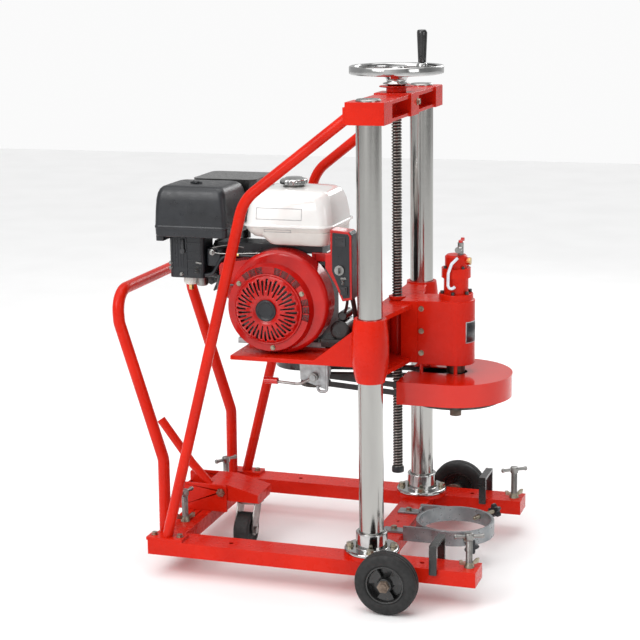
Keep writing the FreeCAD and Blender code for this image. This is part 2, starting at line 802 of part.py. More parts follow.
def bush(side, z):
    inner = d.column_radius + d.running_gap
    return turned([(inner, z + 0.1), (35.4, z + 0.1), (35.4, z + 31.9), (inner, z + 31.9)],
                  at=(0, mirrored(side, d.column_side), 0))


name_it("sleeve_bushes", group(*[bush(side, z) for side in (1, -1) for z in BUSH_SPOTS]))


def spindle_housing():
    """The housing bolted to the carriage face: a block that runs into a round barrel, with a top flange."""
    height = d.housing_top - d.housing_bottom
    x = d.spindle_x
    r = d.housing_radius
    block = box(x - 70, 2 * r, height, (70, -r, d.housing_bottom))
    barrel = cylinder(r, height, (x, 0, d.housing_bottom))
    flange = cylinder(46, 17, (x, 0, d.housing_top))
    bore = cylinder(d.spindle_radius + 0.5, 300, (x, 0, 500))
    seats = [cylinder(40, 24, (x, 0, z)) for z in (580, 718)]
    return cut(fuse(block, barrel, flange), bore, *seats)


name_it("spindle_housing", spindle_housing())


def bearing(z):
    return turned([(d.spindle_radius + 0.05, z), (39.9, z), (39.9, z + 22), (d.spindle_radius + 0.05, z + 22)],
                  at=(d.spindle_x, 0, 0))


name_it("spindle_bearings", group(bearing(581), bearing(719)))


def water_swivel():
    """The water head on top of the spindle: neck, bolted flange ring, cap and the brass inlet elbow."""
    low = d.housing_top + 17
    profile = [(16, low), (33, low), (33, 806), (39, 806), (39, 832), (30, 832), (30, 862), (25, 867), (0, 867),
               (0, 800), (16, 800)]
    head = turned(profile, at=(d.spindle_x, 0, 0))
    side_boss = cylinder(10, 28, (d.spindle_x + 12, 0, 850), ALONG_X)
    stem = cylinder(8, 33, (d.spindle_x + 12, 0, 866))
    neck = cylinder(6.5, 14, (d.spindle_x + 12, 0, 884), Rotation(X_AXIS, 90))
    inlet = cylinder(8, 22, (d.spindle_x + 12, -13, 884), Rotation(X_AXIS, 90))
    barbs = []
    for angle, reach, z in ((-70, 28, 862), (-80, 30, 788)):
        turn = Rotation(Z_AXIS, angle).multiply(ALONG_X)
        barbs.append(carried(cylinder(5.5, 6, (0, 0, reach)), d.spindle_x, 0, z, turn))
    return fuse(head, side_boss, stem, neck, inlet, *barbs)


name_it("water_swivel", water_swivel())

hose_route = [(176, -37, 864), (161, -45, 848), (153, -47, 824), (152, -47, 790), (158, -45, 778), (170, -41, 787)]
name_it("water_hose", tube(hose_route, 4, 8))


def engine_plate():
    """The plate that carries the engine, with side gussets and two raised mounting pads."""
    half = d.plate_side
    front = -31
    length = front + 407
    top = d.plate_bottom + d.plate_thick
    plate = box(length, 2 * half, d.plate_thick, (-407, -half, d.plate_bottom))
    pads = [mid_box(330, 32, 8, (-228, mirrored(side, 85), top)) for side in (1, -1)]
    gusset = [(-172, top), (front, top), (front, 700), (-60, 692)]
    gussets = [padded("XZ_Plane", gusset, 10, (0, mirrored(side, half - 5), 0)) for side in (1, -1)]
    opening = mid_box(70, 70, 40, (d.drive_x, 0, d.plate_bottom - 10))
    leg_slot = mid_box(126, 60, 40, (-285, 142, d.plate_bottom - 10))
    return cut(fuse(plate, *pads, *gussets), opening, leg_slot)


name_it("engine_plate", engine_plate())
engine_base = d.plate_bottom + d.plate_thick + 8
CYLINDER_TILT = 25


def engine_block():
    """Crankcase, finned inclined cylinder and head."""
    case = mid_box(210, 190, 148, (-300, -5, engine_base + 12))
    feet = mid_box(250, 202, 14, (-300, 0, engine_base))
    tilt = Rotation(Y_AXIS, -90 + CYLINDER_TILT)
    barrel = cylinder(48, 230, (d.crank_x, 0, d.crank_z), tilt)
    fins = []
    for step in range(8):
        reach = 112 + 11 * step
        x = d.crank_x - reach * math.cos(math.radians(CYLINDER_TILT))
        z = d.crank_z + reach * math.sin(math.radians(CYLINDER_TILT))
        fin = mid_box(140, 130, 4)
        fins.append(carried(fin, x, 0, z, tilt))
    head = mid_box(120, 120, 40)
    x = d.crank_x - 205 * math.cos(math.radians(CYLINDER_TILT))
    z = d.crank_z + 205 * math.sin(math.radians(CYLINDER_TILT))
    head = carried(fuse(head, cylinder(40, 46)), x, 0, z, tilt)
    tank_feet = [mid_box(24, 60, 60, (foot_x, 0, 830)) for foot_x in (-340, -220)]
    saddle = mid_box(190, 120, 60, (-280, 0, 772))
    shaft_bore = cylinder(20, 400, (d.crank_x, -200, d.crank_z), ALONG_Y)
    return cut(fuse(case, feet, barrel, head, saddle, *fins, *tank_feet), shaft_bore)


name_it("engine_block", engine_block())


def fan_cover():
    """The pressed fan housing: round body, raised dome and the duct towards the cylinder."""
    body = turned([(0, 0), (d.fan_radius, 0), (d.fan_radius, 50), (d.fan_radius - 12, 62, 14), (0, 62)],
                  Rotation(X_AXIS, 90), (d.fan_x, -103, d.fan_z))
    dome = turned([(0, 0), (122, 0), (114, 20), (0, 20)], Rotation(X_AXIS, 90), (d.crank_x, -164, d.crank_z))
    duct = [(-330, 660), (-280, 850), (-300, 868), (-446, 846), (-452, 838), (-452, 790), (-420, 735)]
    duct_piece = padded("XZ_Plane", duct, 56, (0, -131, 0))
    fan_space = cylinder(d.fan_radius - 5, 56, (d.fan_x, -102, d.fan_z), Rotation(X_AXIS, 90))
    dome_space = cylinder(108, 24, (d.crank_x, -156, d.crank_z), Rotation(X_AXIS, 90))
    duct_inside = [(-330, 680), (-292, 840), (-305, 858), (-440, 838), (-440, 796), (-415, 742)]
    duct_space = padded("XZ_Plane", duct_inside, 46, (0, -131, 0))
    rope_bore = cylinder(3.5, 240, (-450, -174, 790), ALONG_X)
    opening = cylinder(84, 60, (d.crank_x, -150, d.crank_z), Rotation(X_AXIS, 90))
    return cut(fuse(body, dome, duct_piece), fan_space, dome_space, duct_space, rope_bore, opening)


name_it("fan_cover", fan_cover())


def recoil_cover():
    """The slotted starter cover with its sunk centre cap."""
    profile = [(0, 0.3), (93, 0.3), (93, 12), (84, 22, 12), (36, 24), (34, 19), (0, 19)]
    disc = turned(profile, Rotation(X_AXIS, 90), (d.crank_x, -184, d.crank_z))
    slots = []
    for step in range(24):
        slot = box(28, 4, 40, (46, -2, 10))
        turn = Rotation(X_AXIS, 90).multiply(Rotation(Z_AXIS, 15 * step))
        slots.append(carried(slot, d.crank_x, -184, d.crank_z, turn))
    return cut(disc, *slots)


name_it("recoil_cover", recoil_cover())


def rounded_prism(low, high, radius):
    """An upright block with rounded vertical corners."""
    x0, y0, z0 = [dim(part) for part in low]
    x1, y1, z1 = [dim(part) for part in high]
    r = radius
    ordered = [(x0 + r, y0, r), (x1 - r, y0), (x1, y0 + r, r), (x1, y1 - r), (x1 - r, y1, r),
               (x0 + r, y1), (x0, y1 - r, r), (x0, y0 + r)]
    return padded("XY_Plane", ordered, z1 - z0, (0, 0, (z0 + z1) / 2))


def loft_tub(low, high, inset, radius):
    """A tub whose rounded rectangle shrinks towards its far end (z of high)."""
    wires = []
    for level, shrink in ((low, 0), (high, inset)):
        x0, x1 = level[0] + shrink, level[1] - shrink
        y0, y1 = level[2] + shrink, level[3] - shrink
        z = level[4]
        r = radius
        corners = [Vector(x0, y0, z), Vector(x1, y0, z), Vector(x1, y1, z), Vector(x0, y1, z)]
        edges = []
        for i in range(4):
            before, corner, after = corners[i - 1], corners[i], corners[(i + 1) % 4]
            back, ahead = (before - corner).normalize(), (after - corner).normalize()
            middle = corner + (back + ahead) * r * (1 - math.sqrt(0.5))
            edges.append(Part.Arc(corner + back * r, middle, corner + ahead * r).toShape())
            edges.append(Part.LineSegment(corner + ahead * r, after - ahead * r).toShape())
        wires.append(Part.Wire(edges))
    obj = doc.addObject("Part::Feature", "tub")
    obj.Shape = Part.makeLoft(wires, True, True)
    return obj


def fuel_tank():
    """The pressed-steel tank: lower tub, seam flange, tapered upper shell and filler neck."""
    x0, x1 = DIMENSIONS["tank_rear"], DIMENSIONS["tank_front"]
    y0, y1 = DIMENSIONS["tank_near"], DIMENSIONS["tank_far"]
    seam, top = DIMENSIONS["tank_seam"], DIMENSIONS["tank_top"]
    flange = rounded_prism((d.tank_rear, d.tank_near, d.tank_seam), (d.tank_front, d.tank_far, d.tank_seam + 5), 38)
    upper = loft_tub((x0 + 6, x1 - 6, y0 + 6, y1 - 6, seam + 4), (x0 + 6, x1 - 6, y0 + 6, y1 - 6, top), 20, 32)
    lower = loft_tub((x0 + 8, x1 - 8, y0 + 8, y1 - 8, seam + 1), (x0 + 8, x1 - 8, y0 + 8, y1 - 8, seam - 52), 12, 28)
    neck = cylinder(26, 8, (-276, -40, top - 2))
    hollow = loft_tub((x0 + 26, x1 - 26, y0 + 26, y1 - 26, seam - 48), (x0 + 26, x1 - 26, y0 + 26, y1 - 26, top - 4),
                      4, 20)
    return cut(fuse(upper, flange, lower, neck), hollow)


name_it("fuel_tank", fuel_tank())


def air_cleaner():
    """The air filter box, with a step under its rear end."""
    body = rounded_prism((d.filter_rear, d.filter_near, d.filter_bottom), (d.filter_front, d.filter_far, d.filter_top),
                         16)
    lip = mid_box(22, 150, 16, (d.filter_rear + 13, -99, d.filter_bottom - 15))
    knob = cylinder(9, 8, (-531, -110, d.filter_top - 1))
    wing = mid_box(34, 8, 8, (-531, -110, d.filter_top + 3))
    return fuse(body, lip, knob, wing)


name_it("air_cleaner", air_cleaner())


def muffler():
    """The exhaust silencer beside the air filter, with its outlet stub."""
    body = rounded_prism((-590, 0, 918), (-404, 166, 1050), 20)
    pipe = cylinder(15, 58, (-480, 120, 868))
    outlet = cylinder(12, 26, (-588, 124, 950), Rotation(Y_AXIS, -90))
    hollow = rounded_prism((-586, 4, 922), (-408, 162, 1046), 16)
    return fuse(cut(body, hollow), pipe, outlet)


name_it("muffler", muffler())


def carburettor():
    """The carburettor behind its black shield, with a float bowl and drain."""
    shield = rounded_prism((-603, -150, 797), (-500, -66, d.filter_bottom), 14)
    bowl = cylinder(22, 30, (-555, -110, 772))
    drain = cylinder(6, 16, (-555, -110, 758))
    return fuse(shield, bowl, drain)


name_it("carburettor", carburettor())


def control_box():
    """The electric-start control box, with its sloped lower edge and a mounting arm."""
    profile = [(-136, 948), (-84, 944), (-76, 934), (-76, 764), (-104, 758), (-122, 800), (-150, 846),
               (-150, 884), (-136, 886)]
    case = padded("XZ_Plane", profile, 54, (0, -140, 0))
    corner = mid_box(14, 24, 24, (-143, -106, 850))
    arm = mid_box(66, 7, 24, (-169, -98, 850))
    strip = mid_box(14, 7, 101, (-202, -98, engine_base + 160))
    key_bore = cylinder(4.3, 26, (-110, -168, 842), ALONG_Y)
    breaker = mid_box(20, 10, 24, (-98, -168, 776))
    return cut(fuse(case, corner, arm, strip, breaker), key_bore)


name_it("control_box", control_box())


def angle_drive():
    """The closed right-angle drive: a chain leg beside the engine and the gear cup under the plate."""
    leg = rounded_prism((-345, 116, 540), (-225, 168, 780), 24)
    cup = cylinder(84, 50, (-262, 0, 541))
    tunnel = mid_box(90, 130, 40, (-262, 70, 548))
    leg_space = rounded_prism((-338, 123, 547), (-232, 161, 773), 17)
    cup_space = cut(cylinder(76, 36, (-262, 0, 548)), cylinder(24, 40, (d.drive_x, 0, 546)))
    bore = cylinder(14.05, 60, (d.drive_x, 0, 530))
    shaft_bore = cylinder(20.05, 60, (d.crank_x, 100, d.crank_z), ALONG_Y)
    return cut(fuse(leg, cup, tunnel), leg_space, cup_space, bore, shaft_bore)


name_it("angle_drive", angle_drive())


def tension_bracket():
    """The aluminium bracket under the plate that carries the belt-tension lever."""
    web = [(-238, 592), (-160, 592), (-150, 560), (-164, 506), (-236, 530)]
    side = padded("XZ_Plane", web, 8, (0, -128, 0))
    foot = mid_box(80, 40, 8, (-198, -112, 585))
    strap = tube([(-158, -140, 586), (-158, -140, 502), (-184, -140, 502), (-184, -140, 518)], 4, 10)
    link = mid_box(16, 20, 8, (-158, -132, 580))
    pivot = cylinder(8, 24, (-196, -148, 540), ALONG_Y)
    return fuse(side, foot, strap, link, pivot)


name_it("tension_bracket", tension_bracket())


def d_shape(radius, rear):
    """A plan outline with straight sides from the rear and a half circle round the spindle."""
    x = d.spindle_x
    return [(rear, -radius), (x, -radius), (x + radius, 0, radius), (x, radius, radius), (rear, radius)]


def belt_guard():
    """The D-shaped pulley guard, open below and behind, hung from the housing on four posts."""
    low = d.guard_bottom
    r = d.guard_radius
    middle = low + d.guard_height / 2
    shell = padded("XY_Plane", d_shape(r, d.guard_rear), d.guard_height, (0, 0, middle))
    hollow = padded("XY_Plane", d_shape(r - 3, d.guard_rear - 10), d.guard_height, (0, 0, middle - 3))
    slot = padded("XY_Plane", d_shape(dim(32), d.guard_rear - 10), 20, (0, 0, low + d.guard_height))
    post_base = low + d.guard_height - 3
    posts = [cylinder(5, d.housing_bottom - post_base, (x, mirrored(side, 41), post_base))
             for x in (78, 172) for side in (1, -1)]
    return cut(fuse(cut(shell, hollow), *posts), slot)


name_it("belt_guard", belt_guard())


def belt(z):
    """One V-belt round both pulleys: a tapered section swept round the tangent loop."""
    outer, inner = DIMENSIONS["pulley_radius"] - 1, DIMENSIONS["drive_radius"] - 1
    front, back = DIMENSIONS["spindle_x"], DIMENSIONS["drive_x"]
    lean = math.asin((outer - inner) / (front - back))
    across, along = math.cos(lean), math.sin(lean)
    front_near = Vector(front - outer * along, -outer * across, z)
    front_far = Vector(front - outer * along, outer * across, z)
    back_near = Vector(back - inner * along, -inner * across, z)
    back_far = Vector(back - inner * along, inner * across, z)
    edges = [Part.LineSegment(back_near, front_near).toShape(),
             Part.Arc(front_near, Vector(front + outer, 0, z), front_far).toShape(),
             Part.LineSegment(front_far, back_far).toShape(),
             Part.Arc(back_far, Vector(back - inner, 0, z), back_near).toShape()]
    path = Part.Wire(edges)
    ahead = (front_near - back_near).normalize()
    outward = ahead.cross(Z_AXIS)
    corners = [back_near + outward * out + Z_AXIS * up
               for out, up in ((0, 8), (0, -8), (-10, -5), (-10, 5))]
    section = Part.makePolygon(corners + corners[:1])
    obj = doc.addObject("Part::Feature", "belt")
    obj.Shape = Part.Solid(path.makePipeShell([section], True, False).Shells[0])
    return obj


belt_levels = (DIMENSIONS["belt_upper"], DIMENSIONS["belt_upper"] - DIMENSIONS["belt_pitch"])
name_it("drive_belts", group(*[belt(z) for z in belt_levels]))


def carriage_bolts():
    bolts = []
    toward = Rotation(X_AXIS, 90)
    for z in (725, 664, 604):
        bolts.append(hex_bolt(4, 5, (80, -d.housing_radius, z), toward))
        bolts.append(hex_bolt(4, 5, (80, d.housing_radius, z), ALONG_Y))
    for step in range(6):
        angle = math.radians(30 + 60 * step)
        spot = (d.spindle_x + 39 * math.cos(angle), 39 * math.sin(angle), d.housing_top + 17)
        bolts.append(cylinder(5, 8, spot))
    for step in range(4):
        angle = math.radians(45 + 90 * step)
        bolts.append(cylinder(4, 7, (d.spindle_x + 34.5 * math.cos(angle), 34.5 * math.sin(angle), 832)))
    for angle_deg in (26, 141, 276):
        angle = math.radians(angle_deg)
        spot = (d.crank_x + 105 * math.cos(angle), -184, d.crank_z + 105 * math.sin(angle))
        bolts.append(hex_bolt(3.5, 4, spot, toward))
    for x, y in ((-415.5, 88), (-184.5, 88), (-415.5, -88), (-184.5, -88)):
        bolts.append(hex_bolt(5, 6, (x, y, engine_base + 14)))
    return group(*bolts)


name_it("carriage_bolts", carriage_bolts())


# ---------------------------------------------------------------- moving pieces on the carriage

def spindle():
    """The drilling spindle: journals, hollow for water, and the threaded nose for the core bit."""
    r = d.spindle_radius
    profile = [(5, d.nose_bottom), (d.nose_radius, d.nose_bottom), (d.nose_radius, 466), (24, 466), (24, 483),
               (20, 483), (20, 545), (r, 545), (r, 745), (15, 745), (15, 798), (5, 798)]
    return turned(profile)


name_it("spindle", spindle(), d.spindle_x)


def grooved_pulley(radius, bore, groove=12, recess=None):
    """A two-groove V pulley standing on its local Z = 0, dished on both faces if recess is (inner, outer, depth)."""
    height = DIMENSIONS["pulley_height"]
    base = DIMENSIONS["pulley_bottom"]
    lower, upper = [], []
    if recess:
        inner, outer, depth = recess
        lower = [(inner, 0), (inner, depth), (outer, depth), (outer, 0)]
        upper = [(outer, height), (outer, height - depth), (inner, height - depth), (inner, height)]
    profile = [(bore, 0)] + lower + [(radius, 0)]
    for z in sorted(belt_levels):
        middle = z - base
        profile += [(radius, middle - 8.8), (radius - groove, middle - 5.2), (radius - groove, middle + 5.2),
                    (radius, middle + 8.8)]
    return turned(profile + [(radius, height)] + upper + [(bore, height)])


lower_rim = turned([(104, -13), (d.pulley_radius, -13), (d.pulley_radius, 0), (104, 0)])
spindle_pulley = fuse(grooved_pulley(d.pulley_radius, 20.3, recess=(38, 104, 19)), lower_rim)
name_it("spindle_pulley", spindle_pulley, d.spindle_x, 0, d.pulley_bottom)

drive = fuse(grooved_pulley(d.drive_radius, 10), cylinder(14, 104, (0, 0, 0)))
name_it("drive_pulley", drive, d.drive_x, 0, d.pulley_bottom)


def crankshaft():
    """Crankshaft along Y with the flywheel fan behind the starter cover."""
    profile = [(0, -178), (14, -178), (14, -160), (98, -160), (98, -112), (19, -112), (19, 160), (0, 160)]
    return turned(profile)


name_it("crankshaft", crankshaft(), d.crank_x, 0, d.crank_z, ALONG_Y)


def valve_lever():
    """The water-cock lever with its red end."""
    hub = cylinder(6, 6, (0, 0, 0))
    arm = mid_box(26, 7, 3, (12, 0, 3))
    tip = cylinder(5, 8, (24, 0, 1))
    return fuse(hub, arm, tip)


name_it("valve_lever", valve_lever(), d.spindle_x + 12, 0, 899.3, Rotation(Z_AXIS, 90))

cap_profile = [(0, 0), (36, 0), (38, 3), (38, 13), (34, 18), (0, 20)]
name_it("fuel_cap", turned(cap_profile), -276, -40, d.tank_top + 6.3)

choke_arm = fuse(cylinder(7, 6, (0, 0, 0)), mid_box(8, 34, 4, (0, 15, 1)))
name_it("choke_lever", choke_arm, -560, -150.3, 872, Rotation(X_AXIS, 90))

key = fuse(cylinder(4, 20, (0, 0, -12)), cylinder(13, 5, (0, 0, 7.3)), mid_box(4, 16, 14, (0, 0, 12)))
name_it("ignition_key", key, -110, -160, 842, Rotation(X_AXIS, 90))


def starter_grip():
    """The recoil starter's grip and the rope that runs back into the fan cover."""
    bar = cylinder(7, 52, (0, 0, -26))
    stem = cone(10, 5, 16, (4, 0, 0), ALONG_X)
    rope = cylinder(2.5, 150, (10, 0, 0), ALONG_X)
    return fuse(bar, stem, rope)


name_it("starter_grip", starter_grip(), -446, -174, 790)


def tension_lever():
    """The belt-tension lever: steel rod with a red grip, turning on the bracket's pivot."""
    hub = cylinder(12, 10, (0, 0, 0), ALONG_Y)
    rod = tube([(-6, 5, -4), (-40, 5, -22), (-110, 5, -18)], 3.8, 40)
    grip = cylinder(9, 38, (-140, 5, -16.3), ALONG_X)
    bore = cylinder(8.05, 30, (0, -5, 0), ALONG_Y)
    return cut(fuse(hub, rod, grip), bore)


name_it("tension_lever", tension_lever(), -196, -145, 540)


# ---------------------------------------------------------------- check and write

doc.recompute()
faults = []
for obj in doc.Objects:
    if any(word in obj.State for word in ("Invalid", "Error")):
        faults.append("%s (%s): %s" % (obj.Name, obj.Label, obj.State))
for obj in subparts:
    if obj.Shape.isNull() or not obj.Shape.isValid() or not obj.Shape.Solids:
        faults.append("%s: bad shape" % obj.Label)
if faults:
    raise SystemExit("\n".join(faults))
os.makedirs("parts", exist_ok=True)
for obj in subparts:
    obj.Shape.exportStep("parts/%s.step" % obj.Label)
whole = Part.makeCompound([obj.Shape for obj in subparts]).BoundBox
print("sub-parts", len(subparts), "box", whole)
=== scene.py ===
import math
import bpy
import bmesh
from mathutils import Matrix, Vector


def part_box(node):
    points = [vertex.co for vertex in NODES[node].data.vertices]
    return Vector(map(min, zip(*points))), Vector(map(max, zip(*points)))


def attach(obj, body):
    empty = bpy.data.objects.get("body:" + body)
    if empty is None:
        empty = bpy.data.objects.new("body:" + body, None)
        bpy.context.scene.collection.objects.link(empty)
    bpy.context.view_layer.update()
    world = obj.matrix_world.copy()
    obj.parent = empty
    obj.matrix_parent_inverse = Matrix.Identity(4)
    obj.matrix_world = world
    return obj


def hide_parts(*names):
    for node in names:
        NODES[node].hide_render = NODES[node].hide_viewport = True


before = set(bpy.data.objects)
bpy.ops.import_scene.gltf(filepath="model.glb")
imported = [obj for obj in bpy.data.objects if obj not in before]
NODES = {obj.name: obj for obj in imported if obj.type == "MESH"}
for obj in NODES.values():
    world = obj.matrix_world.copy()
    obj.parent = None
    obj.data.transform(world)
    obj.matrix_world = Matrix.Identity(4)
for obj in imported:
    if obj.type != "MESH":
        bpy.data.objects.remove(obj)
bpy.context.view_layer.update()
COLUMN_X = 0.206
MM = 0.001
RIGHT, LEFT = -1, 1
UP = Vector((0, 0, 1))
WELD_GAP = 0.00002
EDGE_ANGLE = math.radians(32)


def at(x, y, z):
    """A point from millimetres: X from the columns' plane, Z from the floor."""
    return Vector((x * MM + COLUMN_X, y * MM, z * MM))


# ---------------------------------------------------------------- materials

M = {}

def new_material(name):
    material = bpy.data.materials.new(name)
    material.use_nodes = True
    tree = material.node_tree
    return material, tree, tree.nodes["Principled BSDF"]


def add_node(tree, kind, **settings):
    node = tree.nodes.new(kind)
    for key, value in settings.items():
        if key in node.inputs:
            node.inputs[key].default_value = value
        else:
            setattr(node, key, value)
    return node


def noise(tree, scale, detail=3.0, stretch=(1, 1, 1)):
    """Object-space noise, stretched where the surface is drawn, turned or brushed."""
    coords = add_node(tree, "ShaderNodeTexCoord")
    mapping = add_node(tree, "ShaderNodeMapping")
    mapping.inputs["Scale"].default_value = stretch
    pattern = add_node(tree, "ShaderNodeTexNoise", Scale=scale, Detail=detail)
    tree.links.new(coords.outputs["Object"], mapping.inputs["Vector"])
    tree.links.new(mapping.outputs["Vector"], pattern.inputs["Vector"])
    return pattern.outputs["Fac"]


def ramp(tree, value, stops):
    node = add_node(tree, "ShaderNodeValToRGB")
    tree.links.new(value, node.inputs["Fac"])
    elements = node.color_ramp.elements
    while len(elements) < len(stops):
        elements.new(0.5)
    for element, (place, colour) in zip(elements, stops):
        element.position = place
        element.color = colour if len(colour) == 4 else (*colour, 1)
    return node.outputs["Color"]


def grey(level):
    return (level, level, level)


def bump(tree, shader, value, distance, strength=1.0):
    node = add_node(tree, "ShaderNodeBump", Strength=strength, Distance=distance)
    tree.links.new(value, node.inputs["Height"])
    tree.links.new(node.outputs["Normal"], shader.inputs["Normal"])


def surface(name, dark, light, rough, metallic=0.0, patches=14, patch_stretch=(1, 1, 1),
            grain=600, grain_depth=0.00004, grain_stretch=(1, 1, 1), coat=0.0, coat_rough=0.06,
            specular=0.5, specks=None, speck_colour=(0.5, 0.5, 0.5)):
    """Adds to M a base colour that varies between two tones, with its own roughness range and fine grain."""
    material, tree, shader = new_material(name)
    tone = ramp(tree, noise(tree, patches, 5, patch_stretch), [(0.32, dark), (0.68, light)])
    if specks:
        spots = ramp(tree, noise(tree, 160, 6), [(specks, grey(0)), (min(specks + 0.03, 1), grey(1))])
        mix = add_node(tree, "ShaderNodeMix", data_type="RGBA")
        tree.links.new(spots, mix.inputs["Factor"])
        tree.links.new(tone, mix.inputs["A"])
        mix.inputs["B"].default_value = (*speck_colour, 1)
        tone = mix.outputs["Result"]
    tree.links.new(tone, shader.inputs["Base Color"])
    smooth, dull = rough
    gloss = ramp(tree, noise(tree, patches * 3, 4, grain_stretch), [(0.3, grey(smooth)), (0.7, grey(dull))])
    tree.links.new(gloss, shader.inputs["Roughness"])
    shader.inputs["Metallic"].default_value = metallic
    shader.inputs["Specular IOR Level"].default_value = specular
    shader.inputs["Coat Weight"].default_value = coat
    shader.inputs["Coat Roughness"].default_value = coat_rough
    bump(tree, shader, noise(tree, grain, 3, grain_stretch), grain_depth)
    M[name] = material


surface("frame_red", (0.52, 0.011, 0.003), (0.63, 0.016, 0.0045), (0.22, 0.34), coat=0.1,
        patches=9, grain=260, grain_depth=0.00012, specular=0.12, specks=0.76,
        speck_colour=(0.3, 0.008, 0.004))
surface("guard_red", (0.54, 0.011, 0.003), (0.62, 0.015, 0.0045), (0.1, 0.18), coat=0.45,
        coat_rough=0.03, patches=7, grain=120, grain_depth=0.00008, specular=0.25)
surface("engine_red", (0.4, 0.005, 0.004), (0.52, 0.009, 0.006), (0.16, 0.28), coat=0.35,
        patches=22, grain=300, grain_depth=0.0001, specular=0.25)
surface("chrome", (0.36, 0.355, 0.34), (0.46, 0.455, 0.435), (0.12, 0.2), metallic=1,
        patches=18, patch_stretch=(1, 1, 0.12), grain=900, grain_depth=0.00003,
        grain_stretch=(1, 1, 12))
surface("wheel_chrome", (0.4, 0.4, 0.4), (0.54, 0.54, 0.53), (0.07, 0.15), metallic=1,
        patches=30, grain=420, grain_depth=0.00004)
surface("steel", (0.22, 0.217, 0.21), (0.38, 0.375, 0.36), (0.26, 0.42), metallic=1, patches=40,
        grain=700, grain_depth=0.00005)
surface("zinc", (0.26, 0.23, 0.165), (0.45, 0.41, 0.33), (0.24, 0.4), metallic=1, patches=120,
        grain=800, grain_depth=0.00004)
surface("dark_steel", (0.07, 0.052, 0.042), (0.17, 0.13, 0.105), (0.3, 0.5), metallic=0.9,
        patches=60, grain=700, grain_depth=0.00008)
surface("screw_steel", (0.2, 0.185, 0.17), (0.34, 0.32, 0.3), (0.25, 0.4), metallic=1,
        patches=70, grain=700, grain_depth=0.00006)
# Near-black painted shade for the feed screw's thread flanks and roots, standing in for the shade in the
# grooves
surface("screw_root_painted_shade", (0.012, 0.01, 0.009), (0.03, 0.026, 0.023), (0.5, 0.7), metallic=0.4,
        patches=70, grain=700, grain_depth=0.00008)
surface("engine_alloy", (0.035, 0.036, 0.038), (0.085, 0.087, 0.09), (0.4, 0.6), metallic=0.7,
        patches=60, grain=650, grain_depth=0.0002)
surface("cast_iron", (0.05, 0.046, 0.042), (0.11, 0.1, 0.09), (0.45, 0.65), metallic=0.8,
        patches=60, grain=500, grain_depth=0.0002)
surface("black_paint", grey(0.008), grey(0.02), (0.22, 0.4), coat=0.35, patches=26,
        grain=330, grain_depth=0.00012, specks=0.72, speck_colour=(0.1, 0.09, 0.08))
surface("rubber", grey(0.006), grey(0.014), (0.55, 0.8), patches=34, grain=900,
        grain_depth=0.00016, specks=0.78, speck_colour=(0.05, 0.045, 0.04))
surface("belt", grey(0.01), grey(0.022), (0.4, 0.6), patches=80, grain=1400, grain_depth=0.00012)
surface("plastic", (0.007, 0.008, 0.0105), (0.014, 0.016, 0.02), (0.26, 0.4), patches=20,
        grain=1500, grain_depth=0.00016)
surface("white", (0.76, 0.76, 0.74), (0.84, 0.84, 0.82), (0.12, 0.2), coat=0.7, patches=10,
        grain=220, grain_depth=0.00006)
surface("beige", (0.62, 0.61, 0.57), (0.74, 0.73, 0.69), (0.3, 0.45), patches=18, grain=500,
        grain_depth=0.00012)
surface("grey_paint", (0.2, 0.215, 0.225), (0.31, 0.325, 0.335), (0.25, 0.4), metallic=0.55,
        patches=30, grain=450, grain_depth=0.00005)
surface("aluminium", (0.32, 0.33, 0.335), (0.5, 0.51, 0.515), (0.4, 0.6), metallic=0.9,
        patches=60, grain=650, grain_depth=0.0002)
surface("brass", (0.46, 0.3, 0.1), (0.66, 0.47, 0.2), (0.2, 0.35), metallic=1, patches=90,
        grain=700, grain_depth=0.00006)
surface("hose", (0.66, 0.74, 0.82), (0.84, 0.89, 0.93), (0.12, 0.22), patches=60, grain=500,
        grain_depth=0.00003, coat=0.5)
surface("grip_black", grey(0.008), grey(0.018), (0.14, 0.26), patches=40, grain=420,
        grain_depth=0.00006, coat=0.5)
surface("grip_red", (0.56, 0.012, 0.008), (0.7, 0.02, 0.012), (0.18, 0.3), patches=60,
        grain=500, grain_depth=0.0001, coat=0.4)
surface("label_black", (0.014, 0.014, 0.016), (0.03, 0.03, 0.034), (0.25, 0.4), patches=50,
        grain=900, grain_depth=0.00003)
surface("label_line", (0.3, 0.3, 0.31), (0.5, 0.5, 0.51), (0.35, 0.5), patches=90,
        grain=900, grain_depth=0.00003)
surface("rust", (0.1, 0.07, 0.052), (0.27, 0.21, 0.165), (0.5, 0.75), metallic=0.5, patches=90,
        grain=600, grain_depth=0.0002)


# ---------------------------------------------------------------- mesh helpers

def finish_piece(obj, material, body, replaces=(), bevel=0.0, segments=2):
    """Gives a new piece its material, rounded edges, smooth shading and its CAD body."""
    materials = material if isinstance(material, (list, tuple)) else [material]
    for each in materials:
        obj.data.materials.append(M[each])
    if bevel:
        round_edges(obj, bevel, segments)
    for polygon in obj.data.polygons:
        polygon.use_smooth = True
    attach(obj, body)
    if replaces:
        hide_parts(*([replaces] if isinstance(replaces, str) else replaces))
    return obj


def round_edges(obj, width_mm, segments=2, angle=EDGE_ANGLE):
    """Eases the edges that are sharper than the angle, and keeps flat faces shaded flat."""
    bevel = obj.modifiers.new("edges", "BEVEL")
    bevel.width = width_mm * MM
    bevel.segments = segments
    bevel.limit_method = "ANGLE"
    bevel.angle_limit = angle
    bevel.use_clamp_overlap = True
    normals = obj.modifiers.new("normals", "WEIGHTED_NORMAL")
    normals.keep_sharp = False
    normals.weight = 60


def bmesh_object(name, build):
    """An object from a bmesh that build fills, with its normals turned outwards."""
    bm = bmesh.new()
    build(bm)
    bmesh.ops.recalc_face_normals(bm, faces=bm.faces)
    mesh = bpy.data.meshes.new(name)
    bm.to_mesh(mesh)
    bm.free()
    obj = bpy.data.objects.new(name, mesh)
    bpy.context.scene.collection.objects.link(obj)
    return obj


